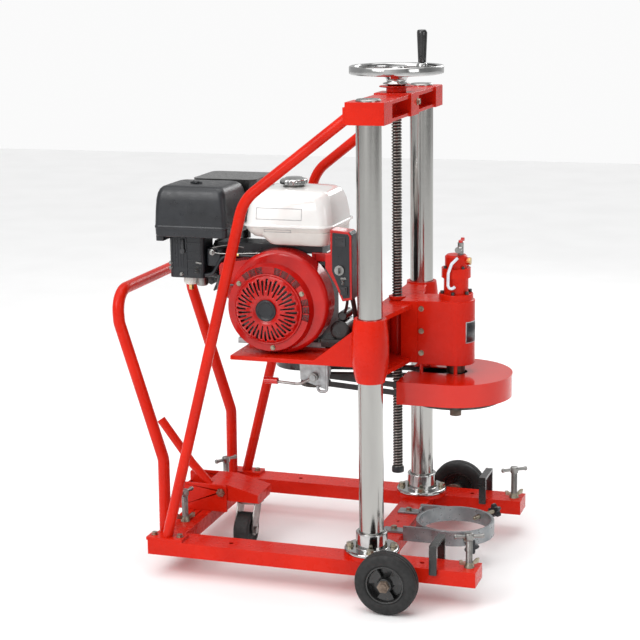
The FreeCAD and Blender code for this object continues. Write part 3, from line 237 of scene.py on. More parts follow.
def round_axis(centre, turn, radius, angle, height):
    """A point about an axis, with its radius and height in millimetres."""
    return centre + turn @ (Vector((radius * math.cos(angle), radius * math.sin(angle), height)) * MM)


def ring_faces(bm, lower, upper):
    count = len(lower)
    for i in range(count):
        j = (i + 1) % count
        bm.faces.new((lower[i], lower[j], upper[j], upper[i]))


def skin(bm, loops, capped=True):
    """Joins a stack of equal loops of points into a tube, closed at both ends."""
    rings = [[bm.verts.new(point) for point in loop] for loop in loops]
    for lower, upper in zip(rings, rings[1:]):
        ring_faces(bm, lower, upper)
    if capped:
        bm.faces.new(rings[0])
        bm.faces.new(rings[-1])
    return rings


def ring_skin(bm, loops):
    """Joins a stack of loops and its own ends into a ring round a hole."""
    rings = skin(bm, loops, capped=False)
    ring_faces(bm, rings[-1], rings[0])


def turned_loops(profile, centre, axis=UP, steps=48):
    """Loops of a turned shape: profile is (radius, height) in millimetres along the axis."""
    turn = axis.to_track_quat("Z", "Y")
    return [[round_axis(centre, turn, radius, 2 * math.pi * i / steps, height) for i in range(steps)]
            for radius, height in profile]


def turned(name, profile, centre, axis=UP, steps=48, closed_ring=False):
    """A turned piece; with closed_ring the profile goes all the way round a hole."""
    cover = ring_skin if closed_ring else skin
    return bmesh_object(name, lambda bm: cover(bm, turned_loops(profile, centre, axis, steps)))


def prism(bm, outline, near, far):
    """A plate whose outline is given as (x, z), between two depths."""
    rings = [[bm.verts.new(at(x, y, z)) for x, z in outline] for y in (near, far)]
    ring_faces(bm, rings[0], rings[1])
    bm.faces.new(rings[0])
    bm.faces.new(rings[1])


def rounded_loop(x0, x1, y0, y1, radius, z, corner_steps=6):
    """A level rectangle with rounded corners, in millimetres."""
    loop = []
    corners = ((x1 - radius, y1 - radius, 0), (x0 + radius, y1 - radius, 90),
               (x0 + radius, y0 + radius, 180), (x1 - radius, y0 + radius, 270))
    for cx, cy, start in corners:
        for i in range(corner_steps + 1):
            angle = math.radians(start + 90 * i / corner_steps)
            loop.append(at(cx + radius * math.cos(angle), cy + radius * math.sin(angle), z))
    return loop


def block(bm, centre, size, turn=None):
    """A box of that size in millimetres about a centre point."""
    turn = turn or Matrix.Identity(3)
    scale = Matrix.Diagonal(Vector(size) * MM)
    for vert in bmesh.ops.create_cube(bm, size=1)["verts"]:
        vert.co = centre + turn @ (scale @ vert.co)


def refine(node, material, width=1.0, segments=2):
    """Keeps a CAD node and gives it a material, eased edges and even shading."""
    obj = NODES[node]
    obj.data.materials.clear()
    names = material if isinstance(material, (list, tuple)) else [material]
    for each in names:
        obj.data.materials.append(M[each])
    if "custom_normal" in obj.data.attributes:
        obj.data.attributes.remove(obj.data.attributes["custom_normal"])
    for polygon in obj.data.polygons:
        polygon.use_smooth = True
        polygon.material_index = 0
    join = obj.modifiers.new("weld", "WELD")
    join.merge_threshold = WELD_GAP
    if width:
        round_edges(obj, width, segments)


def repaint(node, index, test):
    """Gives the faces whose middle passes the test the node's material of that index."""
    for polygon in NODES[node].data.polygons:
        if test(polygon.center):
            polygon.material_index = index


# ---------------------------------------------------------------- carried-over CAD nodes

for name in ("rails", "crossbeams", "caster_bracket", "caster_carrier"):
    refine(name, "frame_red", 2.0, 3)
for name in ("stays", "push_handle"):
    refine(name, "frame_red", 1.0)
for name in ("top_beam", "screw_bearing", "carriage_casting", "spindle_housing", "engine_plate"):
    refine(name, "frame_red", 2.0, 3)
refine("water_swivel", ["frame_red", "brass", "steel"], 2.0, 3)
refine("belt_guard", "guard_red", 2.4, 3)
refine("columns", ["chrome", "steel"], 0.6)
refine("column_flanges", "wheel_chrome", 2.5, 3)
refine("guide_ring", "grey_paint", 1.2)
refine("rail_brackets", "black_paint", 1.2)
refine("wheel_axles", "rust", 1.0)
refine("caster_fork", "steel", 0.8)
refine("caster_wheel", "rubber", 1.5)
refine("lead_nut", "frame_red", 0.8)
refine("sleeve_bushes", "brass", 0.3)
refine("spindle_bearings", "steel", 0.3)
refine("engine_block", ["engine_alloy", "aluminium"], 2.2)
refine("fan_cover", "engine_red", 4.0, 3)
refine("muffler", "black_paint", 5.0, 3)
refine("angle_drive", "black_paint", 5.0, 3)
refine("tension_bracket", "aluminium", 1.0)
refine("drive_belts", "belt", 0.6)
refine("water_hose", "hose", 0)
refine("spindle", "dark_steel", 1.0)
refine("spindle_pulley", "cast_iron", 0.8)
refine("drive_pulley", "cast_iron", 0.8)
refine("crankshaft", "aluminium", 1.0)
refine("valve_lever", "grip_red", 0.8)
refine("choke_lever", "engine_alloy", 0.8)
refine("ignition_key", "steel", 0.6)
refine("starter_grip", "grip_black", 1.6, 3)
refine("frame_bolts", ["zinc", "steel"], 0.6)
refine("carriage_bolts", ["zinc", "black_paint"], 0.5)
refine("tension_lever", ["steel", "grip_red"], 1.0)
repaint("tension_lever", 1, lambda c: c.x < at(-296, 0, 0).x)
repaint("columns", 1, lambda c: c.z > 1.2955)
repaint("water_swivel", 2, lambda c: c.z > 0.868)
repaint("water_swivel", 1, lambda c: c.x > at(198, 0, 0).x and 0.838 < c.z < 0.862)
repaint("engine_block", 1, lambda c: c.z < 0.632)
repaint("carriage_bolts", 1, lambda c: c.z > 0.758 and c.x > at(100, 0, 0).x)


# ---------------------------------------------------------------- feed screw and threads

def threaded(name, radius, pitch, low, high, centre, depth, axis=UP, steps=20, ends=(), root=False):
    """A helical thread between two heights; ends are plain stretches as (radius, height) pairs.

    With root, the faces off the crest take the second material, a near-black painted shade on the thread's
    flanks and roots."""
    turn = axis.to_track_quat("Z", "Y")
    wave = ((0.0, 0.0), (0.42, 0.0), (0.54, 1.0), (0.88, 1.0))  # share of the pitch, share of the depth

    # Faces off the crest take the painted shade; only the crest keeps the screw steel
    def tone(k):
        return 1 if root and k % len(wave) else 0

    def build(bm):
        turns = int((high - low) / pitch)
        rings = []
        for k in range(turns * len(wave) + 1):
            share, dip = wave[k % len(wave)]
            base = low + pitch * (k // len(wave) + share)
            ring = []
            for i in range(steps):
                z = min(max(base + pitch * (i / steps - 0.5), low), high)
                spot = round_axis(centre, turn, radius - depth * dip, 2 * math.pi * i / steps, z)
                ring.append(bm.verts.new(spot))
            rings.append(ring)
        for k, (lower, upper) in enumerate(zip(rings, rings[1:])):
            for i in range(steps - 1):
                face = bm.faces.new((lower[i], lower[i + 1], upper[i + 1], upper[i]))
                face.material_index = tone(k)
        shift = len(wave)
        for k in range(len(rings) - 1 - shift):
            lower, upper = rings[k + shift], rings[k + shift + 1]
            face = bm.faces.new((rings[k][-1], lower[0], upper[0], rings[k + 1][-1]))
            face.material_index = tone(k)
        core = radius - depth * 1.02
        skin(bm, turned_loops([(core, low), (core, high)], centre, axis, steps))
        for near, far in ends:
            skin(bm, turned_loops([near, far], centre, axis, 36))
    return bmesh_object(name, build)


def feed_screw():
    """The carriage's lead screw, with its plain top journal and the stop on its lower end."""
    low, high = 266, 1228
    screw = threaded("feed_screw_thread", 13.6, 8, low, high, at(0, 0, 0), 3, steps=24, root=True,
                     ends=(((13.2, high), (13.2, 1236)), ((13.8, 1236), (13.8, 1311)),
                           ((9.9, 1311), (9.9, 1352))))
    finish_piece(screw, ["screw_steel", "screw_root_painted_shade"], "feed", "lead_screw")
    end_cap = turned("feed_screw_cap", [(3, 249), (16, 249), (17, 251), (17, 262), (15, 266), (3, 266)],
                     at(0, 0, 0))
    finish_piece(end_cap, "plastic", "feed", bevel=0.6)


# ---------------------------------------------------------------- handwheel

FIRST_SPOKE = 65


def handwheel():
    """A flat-sided rim, three dished spokes that widen at both ends, a turned hub and the grip's pin."""
    def build(bm):
        rim = []
        section = ((121, 1342), (124, 1343.2), (125, 1346), (125, 1360), (124, 1362.8), (121, 1364),
                   (115, 1363.4), (111.5, 1361), (110.4, 1356), (110.4, 1350), (111.5, 1345), (115, 1342.6))
        for i in range(96):
            angle = 2 * math.pi * i / 96
            loop = []
            for r, z in section:
                loop.append(bm.verts.new(at(r * math.cos(angle), r * math.sin(angle), z)))
            rim.append(loop)
        for first, second in zip(rim, rim[1:] + rim[:1]):
            ring_faces(bm, first, second)
        for step in range(3):
            angle = math.radians(FIRST_SPOKE + 120 * step)
            along = Vector((math.cos(angle), math.sin(angle), 0))
            across = Vector((-math.sin(angle), math.cos(angle), 0))
            loops = []
            for reach, half, thick, z in ((18, 13, 6, 1335), (40, 10, 5, 1340), (70, 8.5, 4.5, 1347),
                                          (98, 9.5, 5, 1353), (112, 12, 6, 1354.5)):
                middle = at(0, 0, z) + along * reach * MM
                loop = []
                for k in range(10):
                    around = 2 * math.pi * k / 10
                    loop.append(middle + across * half * math.cos(around) * MM
                                + Vector((0, 0, thick * math.sin(around) * MM)))
                loops.append(loop)
            skin(bm, loops)
        skin(bm, turned_loops([(10, 1310), (23, 1310), (24, 1314), (36, 1316), (36, 1318), (25, 1321),
                               (27, 1328), (33, 1336), (34, 1344), (30, 1349), (20, 1352), (20, 1358),
                               (17, 1361),
                               (10, 1361)],
                              at(0, 0, 0)))
        angle = math.radians(FIRST_SPOKE)
        boss = at(0, 0, 0) + Vector((math.cos(angle), math.sin(angle), 0)) * 106 * MM
        skin(bm, turned_loops([(12, 1345.5), (14, 1349), (14, 1361), (12, 1364), (9, 1364)], boss))
        skin(bm, turned_loops([(5, 1360), (5, 1449), (3.5, 1451.5)], boss, steps=24))
    finish_piece(bmesh_object("handwheel_cast", build), "wheel_chrome", "feed", "handwheel")


def handwheel_grip():
    low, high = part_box("handwheel_grip")
    middle = Vector(((low.x + high.x) / 2, (low.y + high.y) / 2, 0))
    grip = turned("handwheel_grip_turned",
                  [(5.2, 1365.3), (10.2, 1365.3), (11, 1367), (11.4, 1380), (12.6, 1410), (13.7, 1438),
                   (13.9, 1445), (12.8, 1450), (10, 1451.8), (5.2, 1451.8)], middle, closed_ring=True)
    finish_piece(grip, "grip_black", "feed_grip", "handwheel_grip")


# ---------------------------------------------------------------- road wheels

def front_wheel(side, word):
    """A moulded tyre with a rib round its crown, and a pressed rim with three spokes."""
    centre = at(79, side * 400, 82)
    out = Vector((0, side, 0))
    tyre = turned("tyre_" + word, [(51, -22), (56, -24.5), (71, -24.8), (78.5, -21), (81.4, -14), (81.4, -9),
                                   (80.4, -8), (80.4, -5), (81.8, -4), (81.8, 4), (80.4, 5), (80.4, 8),
                                   (81.4, 9), (81.4, 14), (78.5, 21), (71, 24.8), (56, 24.5), (51, 22)],
                  centre, out, 72, closed_ring=True)
    finish_piece(tyre, "rubber", "front_wheel_" + word, "front_tyre_" + word)

    def build(bm):
        lip = [(50.6, -20), (50.6, 21), (46, 21), (43, 12), (43, 5), (43, -5), (46, -20)]
        ring_skin(bm, turned_loops(lip, centre, out, 72))
        hub = [(10.2, -24), (19, -24), (21, -10), (21, 14), (18, 24), (14, 25), (10.2, 25)]
        ring_skin(bm, turned_loops(hub, centre, out, 40))
        turn = out.to_track_quat("Z", "Y")
        for step in range(3):
            grid = []
            for i in range(9):
                angle = math.radians(120 * step + 62 * i / 8)
                column = []
                for radius, height in ((19, 11), (32, 9), (45, 12), (45, 5), (32, 2), (19, 4)):
                    column.append(bm.verts.new(round_axis(centre, turn, radius, angle, height)))
                grid.append(column)
            for first, second in zip(grid, grid[1:]):
                ring_faces(bm, first, second)
            bm.faces.new(grid[0])
            bm.faces.new(grid[-1])
        web = [(20, -6), (20, -3), (44, -3), (44, -6)]
        ring_skin(bm, turned_loops(web, centre, out, 48))
    rim = bmesh_object("rim_" + word, build)
    finish_piece(rim, "black_paint", "front_wheel_" + word, "front_rim_" + word, bevel=1.0)


# ---------------------------------------------------------------- levelling screws and ring clamps

def levelling_screw(word, heading):
    """A threaded jack screw with a forged T-bar, at its heading in degrees, and a swivel foot."""
    node = "levelling_screw_" + word
    low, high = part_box(node)
    middle = Vector(((low.x + high.x) / 2, (low.y + high.y) / 2, 0))
    screw = threaded("jack_thread_" + word, 9, 3, 66, 180, middle, 1.3, steps=18)
    finish_piece(screw, "steel", "level_" + word, node)
    along = Matrix.Rotation(math.radians(heading), 3, "Z") @ Vector((1, 0, 0))
    bar_height = Vector((0, 0, 0.188))
    bar = [(3, -39.8), (6, -38), (6.6, -34), (5, -30), (4.4, -10)]
    bar += [(radius, -reach) for radius, reach in reversed(bar)]

    def build(bm):
        skin(bm, turned_loops([(9, 178), (11, 179), (12, 182), (12, 192), (10, 196), (5, 197)], middle))
        skin(bm, turned_loops(bar, middle + bar_height, along, 20))
        skin(bm, turned_loops([(12, 55), (13, 56), (12, 61), (9.5, 62), (8.5, 67)], middle))
    head = bmesh_object("jack_head_" + word, build)
    finish_piece(head, "steel", "level_" + word, bevel=0.5)


def ring_clamp(side, word):
    """A threaded rod that points at the guide ring's middle, with a five-lobed knob."""
    angle = math.radians(62) * side
    out = Vector((math.cos(angle), math.sin(angle), 0))
    ring_middle = at(163, 0, 107)
    rod_piece = threaded("clamp_thread_" + word, 6, 1.75, 84, 162, ring_middle, 0.9, out, 16,
                         ends=(((5, 79), (5, 85)),))
    finish_piece(rod_piece, "zinc", "clamp_" + word, "ring_clamp_" + word)

    def star(bm):
        turn = out.to_track_quat("Z", "Y")
        loops = []
        for height, share in ((162, 0.9), (164, 1), (175, 1), (178, 0.88)):
            loop = []
            for i in range(60):
                around = 2 * math.pi * i / 60
                radius = (17 + 4 * math.cos(5 * around)) * share
                loop.append(round_axis(ring_middle, turn, radius, around, height))
            loops.append(loop)
        skin(bm, loops)
    knob = bmesh_object("clamp_knob_" + word, star)
    finish_piece(knob, "plastic", "clamp_" + word, bevel=0.5)


# ---------------------------------------------------------------- engine

CRANK = at(-305, 0, 731)
TOWARDS_RIGHT = Vector((0, -1, 0))

def fuel_tank():
    """The tank: sculpted lower tub, thin seam flange and crowned upper shell."""
    x0, x1, y0, y1 = -394, -138, -150, 80

    def loop(inset, z, radius):
        return rounded_loop(x0 + inset, x1 - inset, y0 + inset, y1 - inset, radius, z)

    def upper(bm):
        skin(bm, [loop(0.5, 945, 37), loop(0, 946, 38), loop(0, 949, 38), loop(0.5, 950, 37),
                  loop(6, 950.3, 33), loop(7, 953, 33), loop(8.5, 970, 32), loop(14, 1005, 34),
                  loop(20, 1024, 36),
                  loop(27, 1034, 34),
                  loop(38, 1039, 30), loop(60, 1041, 24), loop(88, 1042, 14)])

    def lower(bm):
        skin(bm, [loop(6, 945, 32), loop(7, 940, 32), loop(12, 928, 32), loop(24, 916, 30),
                  loop(34, 913, 24)])
        skin(bm, [rounded_loop(x0 + rear, x1 - front, y0 + side, y1 - side, 24, z)
                  for rear, front, side, z in ((40, 10, 10, 932), (58, 13, 14, 912), (72, 19, 20, 897),
                                               (84, 28, 30, 893.5))])
    shell = bmesh_object("tank_shell", upper)
    finish_piece(shell, "white", "carriage", "fuel_tank")
    round_edges(shell, 0.3, 1, math.radians(40))
    tub = bmesh_object("tank_tub", lower)
    finish_piece(tub, "beige", "carriage", bevel=2)
    neck = turned("tank_neck", [(20, 1040), (30, 1041), (30, 1044), (26, 1045), (26, 1047.9), (20, 1047.9)],
                  at(-276, -40, 0))
    finish_piece(neck, "steel", "carriage", bevel=0.4)


def fuel_cap():
    """A pressed filler cap with a scalloped skirt and a crowned top."""
    def build(bm):
        loops = []
        for z, radius, wave in ((1048.5, 35, 0.4), (1050, 37, 0.9), (1058, 37, 0.9), (1061, 35.5, 0.6),
                                (1063, 33, 0), (1064, 27, 0), (1067, 23, 0), (1068.2, 14, 0), (1068.3, 5, 0)):
            loop = []
            for i in range(96):
                angle = 2 * math.pi * i / 96
                r = radius + wave * math.cos(16 * angle)
                loop.append(at(-276 + r * math.cos(angle), -40 + r * math.sin(angle), z))
            loops.append(loop)
        skin(bm, loops)
    finish_piece(bmesh_object("filler_cap", build), "wheel_chrome", "tank_cap", "fuel_cap",
                 bevel=0.2)


def air_cleaner():
    """The moulded filter box: rounded lid, a parting ridge and a step in its base."""
    x0, x1, y0, y1 = -628, -418, -190, -8

    def loop(inset, z, radius):
        return rounded_loop(x0 + inset, x1 - inset, y0 + inset, y1 - inset, radius, z, 8)

    def build(bm):
        skin(bm, [loop(9, 915.2, 10), loop(4, 916.5, 12), loop(2, 920, 14), loop(1.6, 938, 14),
                  loop(0, 939.5, 15), loop(0, 944, 15), loop(1.6, 945.5, 14), loop(3, 985, 15),
                  loop(5, 1015, 17),
                  loop(8, 1032, 18),
                  loop(13, 1043, 18), loop(20, 1049, 17), loop(30, 1051.6, 14), loop(60, 1052, 8)])
        block(bm, at(-617, -99, 908.5), (21, 148, 15))
    body = bmesh_object("filter_box", build)
    finish_piece(body, "plastic", "carriage", "air_cleaner", bevel=1.2)

    def wing(bm):
        skin(bm, turned_loops([(6, 1051), (9, 1052), (9, 1056), (5, 1058)], at(-531, -110, 0), steps=28))
        for side in (LEFT, RIGHT):
            block(bm, at(-531 + side * 10, -110, 1055), (14, 6, 6), Matrix.Rotation(0.35 * side, 3, "Y"))
    finish_piece(bmesh_object("filter_wing_nut", wing), "plastic", "carriage",
                 bevel=1.2)


def polar_grille(name, centre, axis, profile, slots, steps=160):
    """A turned cover with slots left open: (inner, outer) radius for even and for odd places."""
    turn = axis.to_track_quat("Z", "Y")

    def build(bm):
        rings = []
        for radius, height in profile:
            ring = []
            for i in range(steps):
                angle = 2 * math.pi * i / steps
                ring.append(bm.verts.new(round_axis(centre, turn, radius, angle, height)))
            rings.append(ring)
        for k in range(len(rings) - 1):
            middle = (profile[k][0] + profile[k + 1][0]) / 2
            for i in range(steps):
                place, quarter = divmod(i, 4)
                inner, outer = slots[place % len(slots)]
                if quarter >= 2 and inner < middle < outer:
                    continue
                j = (i + 1) % steps
                bm.faces.new((rings[k][i], rings[k][j], rings[k + 1][j], rings[k + 1][i]))
    cover = bmesh_object(name, build)
    shell = cover.modifiers.new("wall", "SOLIDIFY")
    shell.thickness = 1.6 * MM
    shell.offset = 0
    return cover


def starter_cover():
    """The domed recoil cover with its ring of long and short slots."""
    profile = [(24, 203), (30, 203), (33, 204.5), (36, 207), (42, 207.3), (50, 207), (56, 206.4), (62, 205.6),
               (68, 204.4), (74, 202.6), (80, 200), (85, 196), (89, 191), (91.5, 187.5), (92.5, 185.5)]
    cover = polar_grille("starter_cover", CRANK, TOWARDS_RIGHT, profile, ((43, 80), (55, 83)))
    finish_piece(cover, "engine_red", "carriage", "recoil_cover")


def starter_details():
    """The sunk cap, the dark screen behind the slots and the cover's rolled rim."""
    cap = turned("starter_cap", [(4, 190), (29, 190), (29.5, 203), (28, 206.5), (26, 207.4), (23, 206.6),
                                 (20, 204), (4, 203.4)], CRANK, TOWARDS_RIGHT)
    finish_piece(cap, "plastic", "carriage", bevel=0.4)

    def screen(bm):
        skin(bm, turned_loops([(8, 184.6), (90, 184.6), (90, 187), (78, 194), (30, 198), (8, 198)], CRANK,
                              TOWARDS_RIGHT, 64))
        for step in range(40):
            angle = 2 * math.pi * (step + 0.5) / 40
            spot = CRANK + Vector((math.cos(angle) * 62, -199, math.sin(angle) * 62)) * MM
            block(bm, spot, (34, 1.2, 1.5), Matrix.Rotation(-angle, 3, "Y"))
    finish_piece(bmesh_object("starter_screen", screen), "black_paint", "carriage")
    rim = turned("starter_rim", [(90.5, 184.6), (95.5, 184.6), (96.5, 186), (95.5, 189), (92.5, 190.4),
                                 (90.5, 188)],
                 CRANK, TOWARDS_RIGHT, 96, closed_ring=True)
    finish_piece(rim, "engine_red", "carriage")


def fan_louvres():
    """Cooling slots in three groups round the fan cover's dome."""
    def slots(bm):
        for start, count in ((37, 4), (98, 3), (-15, 3)):
            for i in range(count):
                angle = math.radians(start + 5 + 11 * i)
                for radius in (97, 101, 105, 109, 113):
                    spot = CRANK + Vector((math.cos(angle) * radius, -184.2, math.sin(angle) * radius)) * MM
                    block(bm, spot, (2.5, 0.9, radius * 0.168), Matrix.Rotation(-angle, 3, "Y"))
    finish_piece(bmesh_object("fan_slots", slots), "black_paint", "carriage")


def control_box():
    """The start box: red frame round a black face, with a key seat, two toggles and a breaker."""
    outline = [(-136, 948), (-84, 944), (-76, 934), (-76, 764), (-104, 758), (-122, 800), (-150, 846),
               (-150, 884), (-136, 886)]

    def shell(bm):
        prism(bm, outline, -113, -166.4)
        block(bm, at(-143, -106, 862), (14, 24, 24))
        block(bm, at(-169, -98, 862), (66, 7, 24))
        block(bm, at(-202, -98, 823.5), (14, 7, 101))
    body = bmesh_object("start_box", shell)
    for polygon in body.data.polygons:
        if polygon.normal.x > 0.3 and polygon.center.y < -0.13:
            polygon.material_index = 1
    finish_piece(body, ["engine_red", "plastic"], "carriage", "control_box", bevel=2.5,
                 segments=3)

    def face(bm):
        inner = [(-129, 941), (-87, 938), (-83, 930), (-83, 770), (-101, 766), (-116, 803), (-131, 838),
                 (-131, 884)]
        prism(bm, inner, -164, -167.2)
    finish_piece(bmesh_object("start_box_face", face), "plastic", "carriage", bevel=0.8)

    def fittings(bm):
        for z in (815, 807):
            skin(bm, turned_loops([(4, 166.5), (4, 169), (2.2, 170), (2.2, 175), (1, 176)], at(-101, 0, z),
                                  TOWARDS_RIGHT, 18))
        skin(bm, turned_loops([(11, 166.8), (13, 167.2), (13, 168)], at(-110, 0, 842), TOWARDS_RIGHT, 28))
        block(bm, at(-99, -169, 821), (15, 5, 5))
    finish_piece(bmesh_object("start_box_fittings", fittings), "steel", "carriage", bevel=0.5)

    def rockers(bm):
        block(bm, at(-98, -169, 788), (19, 7, 22))
        block(bm, at(-98, -171.5, 790), (12, 5, 12), Matrix.Rotation(0.25, 3, "X"))
        block(bm, at(-107, -168.4, 918), (28, 2, 26))
    finish_piece(bmesh_object("start_box_rockers", rockers), "label_black", "carriage",
                 bevel=1.0)


def rod(bm, points, radius, steps=12, rounds=5):
    """A round bar or hose through points given in millimetres, eased along a smooth curve."""
    spots = [at(*point) for point in points]
    spots = [spots[0]] + spots + [spots[-1]]
    line = []
    for before, start, end, after in zip(spots, spots[1:], spots[2:], spots[3:]):
        for k in range(rounds):
            t = k / rounds
            slope = end - before
            bend = 2 * before - 5 * start + 4 * end - after
            twist = 3 * start - before - 3 * end + after
            line.append(0.5 * ((2 * start) + slope * t + bend * t * t + twist * t * t * t))
    line.append(spots[-1])
    loops = []
    for i, spot in enumerate(line):
        ahead = (line[min(i + 1, len(line) - 1)] - line[max(i - 1, 0)]).normalized()
        turn = ahead.to_track_quat("Z", "Y")
        loop = []
        for j in range(steps):
            angle = 2 * math.pi * j / steps
            loop.append(spot + turn @ (Vector((math.cos(angle), math.sin(angle), 0)) * radius * MM))
        loops.append(loop)
    skin(bm, loops)


def carburettor():
    """The black shield with its ribs and recess, its fastenings, the float bowl and the linkage beside it."""
    def shield(bm):
        skin(bm, [rounded_loop(-602.5, -501, -149, -67, 14, z) for z in (798, 914.8)])
        for i in range(5):
            block(bm, at(-592 + i * 8, -149.2, 868), (3, 1.6, 84))
        for z in (822, 846, 870, 894):
            block(bm, at(-530, -149.4, z), (44, 2, 4))
        block(bm, at(-551, -149.6, 856), (5, 2.4, 104))
        skin(bm, [rounded_loop(-498, -452, -138, -70, 10, z) for z in (832, 858, 878)])
        rod(bm, [(-500, -141, 806), (-478, -143, 812), (-464, -143, 832), (-452, -143, 852),
                 (-436, -142, 862)], 5.5)
        rod(bm, [(-396, -150, 868), (-360, -150, 866), (-330, -146, 868), (-296, -140, 872)], 4.5)
        rod(bm, [(-488, -118, 806), (-470, -122, 802), (-456, -122, 786), (-454, -120, 764)], 8)
        block(bm, at(-330, -58, 880), (300, 76, 22))
        block(bm, at(-440, -60, 868), (70, 70, 34))
    finish_piece(bmesh_object("carburettor_shield", shield), "plastic", "carriage", "carburettor",
                 bevel=1.2, segments=2)

    def metal(bm):
        for x, z in ((-597, 838), (-597, 825), (-566, 808)):
            hexagon = [(6, 148), (6, 150.5), (5, 151), (5, 154), (4, 155)]
            skin(bm, turned_loops(hexagon, at(x, 0, z), TOWARDS_RIGHT, 6))
        block(bm, at(-514, -152, 841), (17, 4, 4), Matrix.Rotation(0.15, 3, "Y"))
        for z in (829, 822, 815):
            skin(bm, turned_loops([(6, z - 1), (8, z), (6, z + 1)], at(-520, -150, 0), steps=20))
        pivot = [(8, 146), (8, 154), (5, 155), (5, 160), (3, 161)]
        skin(bm, turned_loops(pivot, at(-474, 0, 872), TOWARDS_RIGHT, 20))
        rod(bm, [(-474, -152, 872), (-440, -153, 870), (-380, -153, 873), (-318, -150, 876)], 1.8, 8)
        rod(bm, [(-474, -150, 884), (-430, -140, 892), (-392, -128, 884)], 1.6, 8)
        skin(bm, turned_loops([(14, 772), (16, 775), (16, 798)], at(-522, -110, 0), steps=28))
    finish_piece(bmesh_object("carburettor_metal", metal), "steel", "carriage", bevel=0.4)

    def bowl(bm):
        skin(bm, turned_loops([(9, 773), (18, 776), (20, 782), (20, 798)], at(-555, -110, 0), steps=36))
    finish_piece(bmesh_object("carburettor_bowl", bowl), "beige", "carriage", bevel=0.6)

    def drain(bm):
        skin(bm, turned_loops([(3, 758), (7, 759), (7, 770), (9, 773.5)], at(-555, -110, 0), steps=6))
        rod(bm, [(-404, -150, 868.5), (-397, -150, 868)], 5.2)
    finish_piece(bmesh_object("carburettor_drain", drain), "brass", "carriage", bevel=0.4)


def starter_motor():
    """The electric starter beside the crankcase, with its leads down from the control box."""
    def motor(bm):
        skin(bm, turned_loops([(18, 0), (27, 2), (28, 8), (28, 78), (24, 82), (10, 84)], at(-134, -96, 662),
                              Vector((0, 1, 0)), 36))
        skin(bm, turned_loops([(11, 0), (13, 2), (13, 60), (9, 62)], at(-128, -92, 702), Vector((0, 1, 0)),
                              24))
        rod(bm, [(-92, -118, 764), (-90, -104, 730), (-92, -84, 690), (-98, -60, 640), (-104, -40, 618)], 6.5)
        rod(bm, [(-104, -120, 768), (-108, -110, 742), (-120, -92, 712)], 4)
        block(bm, at(-150, -60, 628), (70, 90, 22))
    finish_piece(bmesh_object("starter_motor", motor), "black_paint", "carriage",
                 bevel=0.8)


def nameplates():
    """Blank plates with a border line where the machine carries its labels."""
    per_side = 10
    total = 4 * per_side

    def curved(bm, radii, start, end, low, high):
        """A plate bent round the spindle housing, between two angles in degrees and two heights."""
        rings = []
        for radius in radii:
            corners = [(start, low), (start, high), (end, high), (end, low)]
            ring = []
            for first, second in zip(corners, corners[1:] + corners[:1]):
                for i in range(per_side):
                    angle = math.radians(first[0] + (second[0] - first[0]) * i / per_side)
                    z = first[1] + (second[1] - first[1]) * i / per_side
                    ring.append(bm.verts.new(at(163 + radius * math.cos(angle), radius * math.sin(angle), z)))
            rings.append(ring)
        ring_faces(bm, rings[0], rings[1])
        for ring in rings:
            for k in range(per_side):
                near, far = ring[per_side + k], ring[per_side + k + 1]
                bm.faces.new((near, far, ring[(total - 1 - k) % total], ring[(total - k) % total]))

    def border(bm):
        curved(bm, (51.3, 51.7), -46, 8, 633, 691)

    def plate(bm):
        curved(bm, (51.5, 52.1), -43.5, 5.5, 635.5, 688.5)
    finish_piece(bmesh_object("spindle_plate_border", border), "label_line", "carriage")
    finish_piece(bmesh_object("spindle_plate", plate), "label_black", "carriage")

    def tank_label(bm, x0, x1, low, high, inset_low, inset_high, line):
        """A thin outline on the tank's near side, which leans back as it rises."""
        def spot(x, z):
            share = (z - low) / (high - low)
            return at(x, -150 + inset_low + (inset_high - inset_low) * share - 0.35, z)
        sides = ((x0, x1, low, low + line), (x0, x1, high - line, high), (x0, x0 + line, low, high),
                 (x1 - line, x1, low, high))
        for ax, bx, az, bz in sides:
            bm.faces.new([bm.verts.new(spot(x, z)) for x, z in ((ax, az), (bx, az), (bx, bz), (ax, bz))])

    def outlines(bm):
        tank_label(bm, -350, -222, 965, 996, 8.0, 12.6, 1.4)
        tank_label(bm, -328, -252, 931, 939, 10.8, 7.3, 1.2)
    labels = bmesh_object("tank_label_lines", outlines)
    wall = labels.modifiers.new("wall", "SOLIDIFY")
    wall.thickness = 0.5 * MM
    wall.offset = 0
    finish_piece(labels, "label_line", "carriage")


# ---------------------------------------------------------------- floor, light and camera

MIX_FACTOR, MIX_A, MIX_B, MIX_RESULT = 0, 6, 7, 2  # the colour sockets of a Mix node


